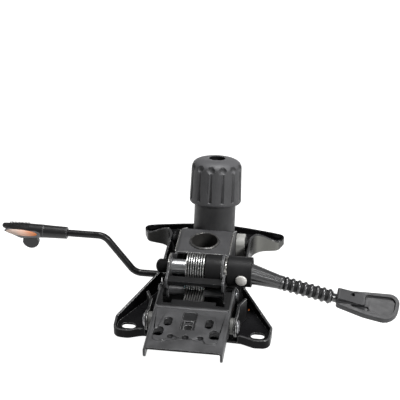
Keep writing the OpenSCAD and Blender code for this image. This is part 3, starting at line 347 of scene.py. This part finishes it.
def make_materials(f):
    MATERIALS.update(
        black_steel=coated_steel("black coated steel", f.coat, 0.42),
        # Edge finishes go on rounded edges: worn steel in patches, and a paler coat that is a painted
        # highlight.
        black_steel_edge=worn_and_highlit_edge("rubbed sheet edge", f.coat, f.worn, 0.22),
        tray_enamel=enamelled_steel("black tray enamel", f.enamel, f.painted_arm_sheen),
        tray_enamel_edge=worn_and_highlit_edge("rubbed tray edge", tinted(f.coat, 0.6), f.worn, 0.0, 1.0),
        bracket_steel=coated_steel("bracket steel", f.coat, 0.42, depth=0.45),
        bracket_steel_edge=worn_and_highlit_edge("bracket edge", f.coat, f.worn, 0.0, 1.2),
        insert_steel=coated_steel("insert steel", tinted(f.dark, 1.5), 0.46, 0.2),
        insert_steel_edge=worn_and_highlit_edge("insert edge", f.coat, f.worn, 0.4),
        tube_steel=coated_steel("tube steel", tinted(f.coat, 0.6), 0.42, 0.3),
        tube_steel_edge=worn_and_highlit_edge("tube edge", f.coat, f.worn, 0.2),
        ear_steel=coated_steel("ear steel", tinted(f.dark, 1.4), 0.46, 0.2),
        ear_steel_edge=worn_and_highlit_edge("rubbed ear edge", f.coat, f.worn, 0.9),
        dark_steel=coated_steel("dark coated steel", f.dark, 0.50, 0.14),
        dark_steel_edge=worn_and_highlit_edge("dark steel edge", f.dark, f.worn, 0.05),
        sleeve_steel=bright_steel("oiled sleeve steel", tinted(f.oiled, 0.5), 0.36, metal=0.5),
        sleeve_steel_edge=worn_and_highlit_edge("sleeve lip", f.dark, f.oiled, 0.5, 3.0),
        rod_steel=coated_steel("black satin rod", f.rod, 0.36, 0.3),
        weld_steel=bright_steel("weld steel", f.weld, 0.30, (500, 500, 500)),
        dab_paint=moulded_plastic("dab paint", f.inlay, 0.5, 900, 0.3),
        dark_plastic=moulded_plastic("dark plastic", tinted(f.grip, 0.5), 0.6, gloss=0.06),
        zinc_steel=bright_steel("zinc plated steel", f.zinc, 0.34),
        plate_steel=bright_steel("friction plate steel", f.plate, 0.36, (900, 60, 900)),
        packed_steel=packed_steel("packed plate steel", f.plate, -0.056, -0.051),
        rivet_steel=bright_steel("bright rivet steel", f.weld, 0.40, metal=0.3),
        pin_steel=bright_steel("pin steel", f.bare, 0.38),
        spring_steel=bright_steel("spring steel", f.bare, 0.42),
        black_plastic=moulded_plastic("black plastic", f.grip, 0.46, gloss=0.16),
        knob_plastic=moulded_plastic("knob plastic", f.knob, 0.52, gloss=0.5, painted_top_light=0.9),
        lever_plastic=moulded_plastic("lever plastic", tinted(f.lever, 0.5), 0.30, 250, 0.04, gloss=0.9),
        paddle_plastic=moulded_plastic("paddle plastic", tinted(f.lever, 0.8), 0.46, gloss=0.3),
        grip_plastic=moulded_plastic("grip plastic", f.grip, 0.34, 1600, 0.12, gloss=0.45),
        # Painted highlight: the grip's rounded edges, with the ring at the socket's end, are nine times paler
        # than its body.
        grip_plastic_edge=moulded_plastic("grip edge", tinted(f.grip, 9), 0.4, 1600, 0.12),
        blade_plastic=moulded_plastic("blade plastic", f.blade, 0.36, 1600, 0.1, gloss=0.5),
        grey_nylon=moulded_plastic("grey nylon", f.block, 0.5, 2200, 0.2),
        washer_nylon=moulded_plastic("worn nylon", tinted(f.nylon, 0.14), 0.5, 2200, 0.15),
        teal_nylon=moulded_plastic("teal nylon", f.teal, 0.45, 2200, 0.15),
        orange_inlay=inlay_paint("inlay paint", f.inlay, f.inlay_pale, -0.204, -0.180),
    )


# Modelling

def nothing():
    if bpy.context.object and bpy.context.object.mode != "OBJECT":
        bpy.ops.object.mode_set(mode="OBJECT")
    bpy.ops.object.select_all(action="DESELECT")


def only(obj):
    nothing()
    obj.select_set(True)
    bpy.context.view_layer.objects.active = obj


def placed(name):
    """The piece that was just added, named and with its place, turn and scale applied."""
    obj = bpy.context.object
    obj.name = name
    bpy.ops.object.transform_apply(location=True, rotation=True, scale=True)
    return obj


def edit_all():
    """Opens the active piece in edit mode with everything selected."""
    bpy.ops.object.mode_set(mode="EDIT")
    bpy.ops.mesh.select_all(action="SELECT")


def edit_some(obj, chosen):
    """Opens the active piece in edit mode with the chosen points selected."""
    bpy.ops.object.mode_set(mode="EDIT")
    bpy.ops.mesh.select_mode(type="VERT")
    bpy.ops.mesh.select_all(action="DESELECT")
    bpy.ops.object.mode_set(mode="OBJECT")
    for vertex in obj.data.vertices:
        vertex.select = vertex.index in chosen
    bpy.ops.object.mode_set(mode="EDIT")


def outward():
    """Turns all faces of the piece in edit mode outwards, and leaves edit mode."""
    bpy.ops.mesh.select_all(action="SELECT")
    bpy.ops.mesh.normals_make_consistent(inside=False)
    bpy.ops.object.mode_set(mode="OBJECT")


def copied(node, name):
    """A new piece with the shape of a CAD node, with its loose triangles merged."""
    source = frame["nodes"][node]
    obj = bpy.data.objects.new(name, source.data.copy())
    bpy.context.scene.collection.objects.link(obj)
    only(obj)
    edit_all()
    bpy.ops.mesh.remove_doubles(threshold=0.002 * MM)
    bpy.ops.object.mode_set(mode="OBJECT")
    return obj


def coated(obj, finish):
    """Gives a piece its finish, and that of its rounded edges where they have one."""
    obj.data.materials.clear()
    obj.data.materials.append(MATERIALS[finish])
    if finish + "_edge" in MATERIALS:
        obj.data.materials.append(MATERIALS[finish + "_edge"])
    return obj


def rounded(obj, width, segments=2, angle=32):
    """Rounds the edges of a piece, and draws points that stray back onto its unrounded skin."""
    guide = bpy.data.objects.new("guide", obj.data.copy())
    bpy.context.scene.collection.objects.link(guide)
    only(obj)
    bevel = obj.modifiers.new("rounding", "BEVEL")
    bevel.width = width
    bevel.segments = segments
    bevel.limit_method = "ANGLE"
    bevel.angle_limit = math.radians(angle)
    bevel.use_clamp_overlap = False
    bevel.material = len(obj.data.materials) - 1
    bpy.ops.object.modifier_apply(modifier=bevel.name)
    bpy.context.view_layer.update()
    stray = []
    for vertex in obj.data.vertices:
        if (guide.closest_point_on_mesh(vertex.co)[1] - vertex.co).length > 0.6 * width:
            stray.append(vertex.index)
    if stray:
        obj.vertex_groups.new(name="stray").add(stray, 1, "REPLACE")
        applied(obj, "SHRINKWRAP", target=guide, vertex_group="stray")
        obj.vertex_groups.clear()
    bpy.data.objects.remove(guide)
    return obj


def shaded(obj, angle=38):
    only(obj)
    bpy.ops.object.shade_smooth_by_angle(angle=math.radians(angle))
    even = obj.modifiers.new("even shading", "WEIGHTED_NORMAL")
    even.keep_sharp = True
    bpy.ops.object.modifier_apply(modifier=even.name)
    return obj


def applied(obj, kind, **values):
    only(obj)
    modifier = obj.modifiers.new(kind.lower(), kind)
    for key, value in values.items():
        setattr(modifier, key, value)
    bpy.ops.object.modifier_apply(modifier=modifier.name)
    return obj


def weld_bead(name, path, radius, seed):
    """A disc that is extruded from point to point, with a ripple at each step."""
    points = [Vector(path[0])]
    for a, b in zip(path, path[1:]):
        a, b = Vector(a), Vector(b)
        steps = max(1, round((b - a).length / (1.1 * radius)))
        points.extend(a.lerp(b, (k + 1) / steps) for k in range(steps))
    nothing()
    bpy.ops.mesh.primitive_circle_add(
        vertices=8, radius=radius, fill_type="NGON", location=points[0],
        rotation=(points[1] - points[0]).to_track_quat("Z", "Y").to_euler(),
    )
    obj = placed(name)
    edit_all()
    for k, (a, b) in enumerate(zip(points, points[1:])):
        bpy.ops.mesh.extrude_region_move(TRANSFORM_OT_translate={"value": b - a})
        swell = 0.72 if k % 2 else 1.38
        bpy.ops.transform.resize(value=(swell, swell, swell), center_override=b)
    bpy.ops.mesh.select_all(action="SELECT")
    bpy.ops.transform.vertex_random(offset=0.6 * radius, seed=seed)
    outward()
    return shaded(applied(obj, "SUBSURF", levels=1, render_levels=1), 80)


def seated(obj, slot, body, *nodes):
    """Gives a finished piece its body and hides the nodes that it stands for; its slot is not used."""
    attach(obj, body)
    if nodes:
        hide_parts(*nodes)
    return obj


def body_of(node):
    for body, nodes in frame["record"]["behaviour"]["bodies"].items():
        if node in nodes:
            return body
    raise ValueError(node)


def slot_of(node):
    for part in frame["record"]["subparts"]:
        if part["node"] == node:
            return part["material_slot"]
    raise ValueError(node)


def finished(node, width, segments=2, finish=None):
    """The common way of a rigid piece: the node's shape with rounded edges."""
    obj = coated(copied(node, node + "_part"), finish or slot_of(node))
    return seated(shaded(rounded(obj, width, segments)), slot_of(node), body_of(node), node)


class TiltOperator:
    bl_options = {"REGISTER", "UNDO"}

    @property
    def edges(self):
        return bpy.context.scene.tilt_edges

    @property
    def details(self):
        return bpy.context.scene.tilt_details


class TILT_OT_tray(TiltOperator, bpy.types.Operator):
    """Pressed seat tray with its ears"""
    bl_idname = "tilt.tray"
    bl_label = "Seat tray"

    def execute(self, context):
        tray = coated(copied("seat_plate", "seat_plate_part"), "tray_enamel")
        rim_z = 5 * MM
        front_y = 80 * MM
        # Painted highlight: upward faces of the rims, short of the front, take the paler edge finish.
        for face in tray.data.polygons:
            if face.normal.z > 0.5 and face.center.z > rim_z and face.center.y < front_y:
                face.material_index = 1
        rounded(tray, self.edges.sheet)
        for face in tray.data.polygons:
            if face.center.y > front_y:
                face.material_index = 0
        seated(shaded(tray), slot_of("seat_plate"), "seat", "seat_plate")
        for node in ("seat_ear_left", "seat_ear_right"):
            finished(node, self.edges.sheet, finish="ear_steel")
        self.paint_dab(Vector((0.0542, -0.0479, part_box("seat_ear_right")[0].z)))
        return {"FINISHED"}

    def paint_dab(self, place):
        """Dab of paint on the floor of the tray, a low blot with an uneven rim."""
        dab = self.details.dab
        nothing()
        bpy.ops.mesh.primitive_circle_add(vertices=18, radius=dab, fill_type="NGON", location=place)
        obj = placed("paint_dab")
        edit_all()
        bpy.ops.transform.resize(value=(0.8, 1.2, 1), center_override=place)
        bpy.ops.transform.vertex_random(offset=0.25 * dab, seed=4)
        bpy.ops.mesh.extrude_region_move(TRANSFORM_OT_translate={"value": (0, 0, 0.1 * dab)})
        bpy.ops.mesh.inset(thickness=0.25 * dab)
        bpy.ops.transform.translate(value=(0, 0, 0.15 * dab))
        outward()
        seated(shaded(coated(obj, "dab_paint"), 60), "orange_inlay", "seat")


class TILT_OT_seat_fittings(TiltOperator, bpy.types.Operator):
    """Bearing blocks, rivets, washers and rocker of the seat tray"""
    bl_idname = "tilt.seat_fittings"
    bl_label = "Seat fittings"

    def execute(self, context):
        finished("front_block_left", self.edges.moulded, finish="dark_plastic")
        finished("front_block_right", self.edges.moulded)
        finished("rear_washers", self.edges.moulded, finish="washer_nylon")
        finished("rear_rivets", self.edges.turned, finish="pin_steel")
        finished("spring_post", self.edges.turned)
        return {"FINISHED"}


class TILT_OT_housing(TiltOperator, bpy.types.Operator):
    """Welded housing with the gas-lift sleeve and the spring tube"""
    bl_idname = "tilt.housing"
    bl_label = "Housing"

    def execute(self, context):
        finished("housing", self.edges.sheet)
        finished("spring_tube", self.edges.sheet, finish="tube_steel")
        finished("gas_lift_sleeve", self.edges.sheet)
        low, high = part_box("housing")
        wall = 1.25 * MM
        crest = ((-28, 54.0), (-34, 55.0), (-40, 56.0), (-46, 55.2), (-49.6, 51.6), (-51, 47.5))
        rim = tuple((y * MM, z * MM) for y, z in crest)
        web_z = 52.6 * MM
        seam = tuple((y * MM, web_z) for y in (21, 0, -20))
        welds = (
            ("weld_lock_right", high.x - 0.4 * wall, rim, self.details.weld_r),
            ("weld_lock_left", low.x + wall, rim[:4], 1.4 * self.details.seam_r),
            ("weld_web_right", high.x, seam, self.details.seam_r),
            ("weld_web_left", -high.x, seam, self.details.seam_r),
        )
        for seed, (name, x, path, radius) in enumerate(welds):
            bead = weld_bead(name, [(x, y, z) for y, z in path], radius, seed)
            seated(coated(bead, "weld_steel"), "plate_steel", "housing")
        return {"FINISHED"}


class TILT_OT_pins(TiltOperator, bpy.types.Operator):
    """Cross pins with their clips and bushes"""
    bl_idname = "tilt.pins"
    bl_label = "Pins"

    def execute(self, context):
        for node in ("front_pivot_pin", "front_pin_clips"):
            finished(node, self.edges.turned, finish="dark_steel")
        for node in ("main_pivot_pin", "main_pin_clips", "pivot_bushes"):
            finished(node, self.edges.turned)
        return {"FINISHED"}


class TILT_OT_friction_lock(TiltOperator, bpy.types.Operator):
    """Axle, plates, strap and cam cup of the friction lock"""
    bl_idname = "tilt.friction_lock"
    bl_label = "Friction lock"

    def execute(self, context):
        for node in ("lock_axle", "axle_washer", "zinc_sleeve"):
            finished(node, self.edges.turned)
        finished("axle_cap", self.edges.turned, finish="dark_plastic")
        finished("cam_pin", self.edges.turned, finish="rivet_steel")
        for node in ("axle_spacer", "pressure_washer", "cam_cup", "plate_strap"):
            finished(node, self.edges.turned, finish="dark_steel")
        finished("fixed_plates", self.edges.plate, 1)
        return {"FINISHED"}


class TILT_OT_back_bracket(TiltOperator, bpy.types.Operator):
    """Pressed bracket of the back with the swinging plates"""
    bl_idname = "tilt.back_bracket"
    bl_label = "Back bracket"

    def execute(self, context):
        bracket = coated(copied("back_bracket", "back_bracket_part"), "bracket_steel")
        rounded(bracket, self.edges.sheet)
        bracket.data.materials.append(MATERIALS["dark_steel"])
        top = 35 * MM
        inner_y = -95 * MM
        pressed_y = -105 * MM
        pressed_x = 34 * MM
        dimple_x = 15 * MM
        dimple_y = -148 * MM
        dimple_r = 3.4 * MM
        # Painted shade in the dark coat: the upward band at the bracket's front, the floors of the pressed
        # pockets and the dimples.
        for face in bracket.data.polygons:
            x, y, z = face.center
            pressed = y < pressed_y and abs(x) < pressed_x
            dimple = min(math.hypot(x - k * dimple_x, y - dimple_y) for k in (-1, 0, 1))
            if face.normal.z > 0.5 and y > inner_y and z > top - 1 * MM:
                face.material_index = 2
            elif pressed and abs(z - top) > 0.9 * MM and z < top + 0.1 * MM:
                face.material_index = 2
            elif pressed and dimple < dimple_r:
                face.material_index = 2
            elif pressed and z > top - 0.1 * MM:
                face.material_index = 0
        seated(shaded(bracket), slot_of("back_bracket"), "back", "back_bracket")
        finished("bracket_insert", self.edges.turned, finish="insert_steel")
        finished("plate_pin", self.edges.turned, finish="dark_steel")
        finished("plate_bushes", self.edges.turned)
        finished("moving_plates", self.edges.plate, 1, "packed_steel")
        return {"FINISHED"}


class TILT_OT_lock_lever(TiltOperator, bpy.types.Operator):
    """Lock lever with its boot, ribbed stem and paddle"""
    bl_idname = "tilt.lock_lever"
    bl_label = "Lock lever"

    def execute(self, context):
        finished("lever_core", self.edges.turned)
        self.boot()
        self.paddle()
        return {"FINISHED"}

    def boot(self):
        """The boot, drawn out ring by ring along the lever: a fluted cone, round ribs and a neck."""
        d = self.details
        low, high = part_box("cam_pin")
        pivot = (low + high) / 2
        low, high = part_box("lever_boot")
        pivot.y = (low.y + high.y) / 2
        slope = math.radians(14)
        along = Vector((math.cos(slope), 0, -math.sin(slope)))
        cone_end = 40 * MM
        collar_end = 44 * MM
        ribs_end = 98.5 * MM
        first_rib = 47.6
        rib_pitch = 6.8
        points = 72
        rings = [(5.5 * MM, d.boot_d / 2), (cone_end, 0.505 * d.boot_end_d)]
        rings.extend(((41.2 * MM, 0.53 * d.boot_end_d), (collar_end, 0.53 * d.boot_end_d)))
        for k in range(8):
            for turn in range(-75, 76, 15):
                a = math.radians(turn)
                reach = d.boot_r - d.boot_rib + d.boot_rib * math.cos(a)
                rings.append(((first_rib + rib_pitch * k) * MM + d.boot_rib * math.sin(a), reach))
        rings.extend(((98.4 * MM, d.stem_d / 2), (98.6 * MM, d.neck_d / 2), (106.4 * MM, d.neck_d / 2)))
        foot = pivot + along * rings[0][0]
        nothing()
        bpy.ops.mesh.primitive_circle_add(
            vertices=points, radius=rings[0][1], fill_type="NGON", location=foot,
            rotation=(0, math.pi / 2 + slope, 0),
        )
        obj = placed("lever_boot_part")
        edit_some(obj, {k for k in range(points) if k % 12 < 3})
        bpy.ops.transform.resize(value=(0.92, 0.92, 0.92), center_override=foot)
        bpy.ops.mesh.select_all(action="SELECT")
        for (way, wide), (onward, slim) in zip(rings, rings[1:]):
            bpy.ops.mesh.extrude_region_move(TRANSFORM_OT_translate={"value": along * (onward - way)})
            share = slim / wide
            bpy.ops.transform.resize(value=(share, share, share), center_override=pivot + along * onward)
            if onward > cone_end:
                bpy.ops.transform.tosphere(value=1)
        outward()
        applied(obj, "BOOLEAN", operation="DIFFERENCE", object=frame["nodes"]["lever_core"], solver="EXACT")
        coated(obj, "lever_plastic")
        obj.data.materials.append(MATERIALS["black_plastic"])
        # Painted shade: the stem between the ribs takes black plastic for the shade in the valleys.
        for face in obj.data.polygons:
            way = (face.center - pivot).dot(along)
            away = (face.center - pivot - along * way).length
            between = collar_end < way < ribs_end and away < 0.55 * d.stem_d
            face.material_index = 1 if between else 0
        seated(shaded(obj), slot_of("lever_boot"), "lock_lever", "lever_boot")

    def paddle(self):
        """The paddle with its broad end swelled a little and rolled towards the hand."""
        obj = coated(copied("lock_paddle", "lock_paddle_part"), "paddle_plastic")
        low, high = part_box("lock_paddle")
        middle = (low + high) / 2
        swell = (1.05, 1.08, 1)
        roll = math.radians(-7)
        edit_all()
        bpy.ops.transform.resize(value=swell, center_override=(high.x, middle.y, middle.z))
        bpy.ops.transform.rotate(value=roll, orient_axis="X", center_override=middle)
        bpy.ops.object.mode_set(mode="OBJECT")
        rounded(obj, self.edges.moulded, 3)
        seated(shaded(obj), slot_of("lock_paddle"), "lock_lever", "lock_paddle")


class TILT_OT_height_lever(TiltOperator, bpy.types.Operator):
    """Height lever with its pivot and grip"""
    bl_idname = "tilt.height_lever"
    bl_label = "Height lever"

    def execute(self, context):
        for node in ("rod_bush", "rod_pivot_pin", "height_rod"):
            finished(node, self.edges.turned)
        self.grip()
        blade = self.on_leaf("grip_blade", (-195, -22, 61.3), (21.5, 6.9), 5, 0)
        seated(shaded(coated(blade, "blade_plastic")), "black_plastic", "height_lever")
        inlay = self.on_leaf("grip_inlay_part", (-197, -23, 62.9), (17.3, 3.9), 3, 0.3 * MM)
        seated(shaded(coated(inlay, "orange_inlay")), "orange_inlay", "height_lever", "grip_inlay")
        self.grip_ribs()
        return {"FINISHED"}

    def grip(self):
        """The grip with its finger tab drawn out below the leaf."""
        obj = coated(copied("height_grip", "height_grip_part"), "grip_plastic")
        low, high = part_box("height_grip")
        root = low.z + 10 * MM
        stretch = (1.3, 1, 1.27)
        tab = {v.index for v in obj.data.vertices if v.co.z < root}
        across = [obj.data.vertices[k].co.x for k in tab]
        middle = ((min(across) + max(across)) / 2, (low.y + high.y) / 2, root)
        edit_some(obj, tab)
        bpy.ops.transform.resize(value=stretch, center_override=middle)
        bpy.ops.object.mode_set(mode="OBJECT")
        rounded(obj, 0.5 * self.edges.moulded)
        seated(shaded(obj), slot_of("height_grip"), "height_lever", "height_grip")

    def on_leaf(self, name, centre, half, tilt, grow):
        """The near side of the leaf inside an oval: a hull of three balls, cut by an oval prism."""
        sight = Vector((-0.3, 1, -0.69)) * MM
        nothing()
        balls = []
        for place, radius in LEAF:
            bpy.ops.mesh.primitive_uv_sphere_add(
                segments=32, ring_count=16, radius=radius * MM + grow, location=Vector(place) * MM,
            )
            balls.append(bpy.context.object)
        for ball in balls:
            ball.select_set(True)
        bpy.ops.object.join()
        leaf = placed(name)
        edit_all()
        bpy.ops.mesh.convex_hull()
        nothing()
        bpy.ops.mesh.primitive_circle_add(
            vertices=32, radius=1, fill_type="NGON", location=Vector(centre) * MM - 8 * sight,
            rotation=(math.pi / 2, math.radians(tilt), 0),
        )
        bpy.context.object.scale = (half[0] * MM, half[1] * MM, 1)
        prism = placed("prism")
        edit_all()
        bpy.ops.mesh.extrude_region_move(TRANSFORM_OT_translate={"value": 16 * sight})
        outward()
        applied(leaf, "BOOLEAN", operation="INTERSECT", object=prism, solver="EXACT")
        bpy.data.objects.remove(prism)
        return leaf

    def grip_ribs(self):
        """Fine ribs across the top of the leaf: one bevelled bar, repeated along it."""
        d = self.details
        nothing()
        low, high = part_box("height_grip")
        middle = (low.y + high.y) / 2
        bpy.ops.mesh.primitive_cube_add(size=1, location=(low.x + 9 * MM, middle, high.z - 0.5 * MM))
        bpy.context.object.scale = (d.rib, 7 * MM, 1.4 * MM)
        obj = placed("grip_ribs")
        edit_all()
        bpy.ops.mesh.bevel(offset=0.3 * d.rib, segments=2, affect="EDGES")
        bpy.ops.object.mode_set(mode="OBJECT")
        applied(
            obj, "ARRAY", count=14, use_relative_offset=False, use_constant_offset=True,
            constant_offset_displace=(d.pitch, 0, 0.02 * d.pitch),
        )
        seated(shaded(coated(obj, "black_plastic")), "black_plastic", "height_lever")


class TILT_OT_knob(TiltOperator, bpy.types.Operator):
    """Tension knob with its screw"""
    bl_idname = "tilt.knob"
    bl_label = "Tension knob"

    def execute(self, context):
        knob = coated(copied("tension_knob", "tension_knob_part"), "knob_plastic")
        rounded(knob, self.edges.moulded, 3)
        knob.data.materials.append(MATERIALS["dark_plastic"])
        knob.data.materials.append(MATERIALS["black_plastic"])
        low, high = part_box("tension_screw")
        # Painted shade: faces round the screw's hole at the top of the knob take the dark plastic.
        for face in knob.data.polygons:
            away = math.hypot(face.center.x - (low.x + high.x) / 2, face.center.y - high.y)
            if away < self.details.knob_hole and face.center.z > high.z - 1 * MM:
                face.material_index = 1
        self.darken_flutes(knob)
        seated(shaded(knob), slot_of("tension_knob"), "knob", "tension_knob")
        finished("tension_screw", self.edges.turned)
        return {"FINISHED"}

    def darken_flutes(self, knob):
        """The bottoms of the flutes, which lie deeper than the tapered side, take black plastic: painted
        shade in the flutes.
        """
        along = TUBE_AXIS
        taper = 1 * MM
        shallow = 1.4 * MM
        deep = 3 * MM
        points = [TUBE_FOOT + along * (v.co - TUBE_FOOT).dot(along) for v in knob.data.vertices]
        reach = max((v.co - p).length for v, p in zip(knob.data.vertices, points))
        ways = [(p - TUBE_FOOT).dot(along) for p in points]
        foot, crown = min(ways), max(ways)
        for face in knob.data.polygons:
            way = (face.center - TUBE_FOOT).dot(along)
            away = (face.center - TUBE_FOOT - along * way).length
            share = (way - foot) / (crown - foot)
            side = reach - taper * share
            if 0.08 < share < 0.72 and shallow < side - away < deep:
                face.material_index = 2


class TILT_OT_spring(TiltOperator, bpy.types.Operator):
    """Spring, nut plate and cup inside the tube"""
    bl_idname = "tilt.spring"
    bl_label = "Tension spring"

    def execute(self, context):
        for node in ("nut_plate", "spring_cup"):
            finished(node, self.edges.turned)
        self.coil()
        return {"FINISHED"}

    def coil(self):
        """Smooth round wire in place of the faceted one: a circle that is screwed up along the tube."""
        d = self.details
        low, high = 0.5 * MM, 36 * MM
        nothing()
        bpy.ops.mesh.primitive_circle_add(
            vertices=12, radius=d.wire / 2, location=(d.coil_r, 0, low), rotation=(math.pi / 2, 0, 0),
        )
        obj = placed("tension_spring_part")
        applied(
            obj, "SCREW", axis="Z", angle=2 * math.pi, iterations=d.turns, steps=32, render_steps=32,
            screw_offset=(high - low) / d.turns,
        )
        edit_all()
        bpy.ops.mesh.fill_holes(sides=12)
        outward()
        obj.location = TUBE_FOOT
        obj.rotation_euler = (-LEAN, 0, 0)
        bpy.ops.object.transform_apply(location=True, rotation=True, scale=True)
        coated(shaded(obj, 60), "spring_steel")
        seated(obj, "spring_steel", body_of("tension_spring"), "tension_spring")
        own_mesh(obj)


def floor_material():
    """Pale floor that looks white to the camera and in reflections."""
    m = Nodes("pale floor")
    path = m.add("ShaderNodeLightPath").outputs
    seen = m.either(m.either(path["Is Camera Ray"], path["Is Glossy Ray"]), path["Is Transmission Ray"])
    m.join(seen, m.shader.inputs["Emission Strength"])
    m.shader.inputs["Base Color"].default_value = (0.22, 0.22, 0.22, 1)
    m.shader.inputs["Emission Color"].default_value = (1, 1, 1, 1)
    m.shader.inputs["Roughness"].default_value = 1.0
    m.shader.inputs["Specular IOR Level"].default_value = 0.0
    return m.material


class TILT_OT_stage(bpy.types.Operator):
    """Floor, a dark sheet that paints the shadow under the tray's window, soft lights and camera"""
    bl_idname = "tilt.stage"
    bl_label = "Stage"

    def lamp(self, name, place, aim, size, power):
        bpy.ops.object.light_add(type="AREA", location=place)
        lamp = bpy.context.object
        lamp.name = name
        lamp.rotation_euler = (Vector(aim) - Vector(place)).to_track_quat("-Z", "Y").to_euler()
        lamp.data.shape = "DISK"
        lamp.data.size = size
        lamp.data.energy = power

    def execute(self, context):
        stage = context.scene.tilt_stage
        bpy.ops.object.select_all(action="DESELECT")
        bpy.ops.mesh.primitive_plane_add(size=stage.floor, location=(0, 0, -stage.drop))
        floor = context.object
        floor.name = "floor"
        floor.data.materials.append(floor_material())
        # Painted shadow: a dark sheet just below the tray stands where the floor under its window would look
        # white.
        bpy.ops.mesh.primitive_plane_add(size=1, location=(0, -30 * MM, -0.3 * MM))
        context.object.scale = (92 * MM, 100 * MM, 1)
        painted_shadow_sheet = placed("painted_shadow_sheet")
        painted_shadow_sheet.data.materials.append(MATERIALS["dark_plastic"])
        self.lamp("key", (1.2, -0.8, 1.0), (0.02, 0, 0.03), 0.6, 25)
        self.lamp("fill", (-1.3, -0.9, 1.3), (0, 0, 0.03), 1.0, 1.8)
        self.lamp("top", (0.15, 0.25, 1.9), (0, 0, 0.05), 0.6, 36)
        bpy.ops.object.camera_add(location=stage.eye)
        camera = context.object
        camera.name = "camera"
        camera.rotation_euler = (Vector(stage.target) - Vector(stage.eye)).to_track_quat("-Z", "Y").to_euler()
        camera.data.lens = stage.lens
        camera.data.sensor_width = 36
        camera.data.clip_start = 0.01
        camera.data.clip_end = 100
        context.scene.camera = camera
        world = bpy.data.worlds.new("soft room")
        world.use_nodes = True
        world.node_tree.nodes["Background"].inputs["Color"].default_value = (1, 1, 1, 1)
        world.node_tree.nodes["Background"].inputs["Strength"].default_value = 0.15
        context.scene.world = world
        context.scene.view_settings.view_transform = "Standard"
        return {"FINISHED"}


ORDER = (
    TILT_OT_stage, TILT_OT_tray, TILT_OT_seat_fittings, TILT_OT_housing, TILT_OT_pins, TILT_OT_friction_lock,
    TILT_OT_back_bracket, TILT_OT_lock_lever, TILT_OT_height_lever, TILT_OT_knob, TILT_OT_spring,
)


class TILT_PT_panel(bpy.types.Panel):
    """Lists the pieces of the mechanism"""
    bl_idname = "TILT_PT_panel"
    bl_label = "Tilt mechanism"
    bl_space_type = "VIEW_3D"
    bl_region_type = "UI"
    bl_category = "Tilt"

    def draw(self, context):
        for operator in ORDER:
            self.layout.operator(operator.bl_idname)
        scene = context.scene
        for group in (scene.tilt_finishes, scene.tilt_edges, scene.tilt_details, scene.tilt_stage):
            for key in group.__annotations__:
                self.layout.prop(group, key)


CLASSES = (TiltFinishes, TiltEdges, TiltDetails, TiltStage, *ORDER, TILT_PT_panel)


def register():
    for cls in CLASSES:
        bpy.utils.register_class(cls)
    bpy.types.Scene.tilt_finishes = bpy.props.PointerProperty(type=TiltFinishes)
    bpy.types.Scene.tilt_edges = bpy.props.PointerProperty(type=TiltEdges)
    bpy.types.Scene.tilt_details = bpy.props.PointerProperty(type=TiltDetails)
    bpy.types.Scene.tilt_stage = bpy.props.PointerProperty(type=TiltStage)


def unregister():
    del bpy.types.Scene.tilt_stage
    del bpy.types.Scene.tilt_details
    del bpy.types.Scene.tilt_edges
    del bpy.types.Scene.tilt_finishes
    for cls in reversed(CLASSES):
        bpy.utils.unregister_class(cls)


def main():
    register()
    make_materials(bpy.context.scene.tilt_finishes)
    for operator in ORDER:
        group, name = operator.bl_idname.split(".")
        getattr(getattr(bpy.ops, group), name)()


if __name__ == "__main__":
    main()
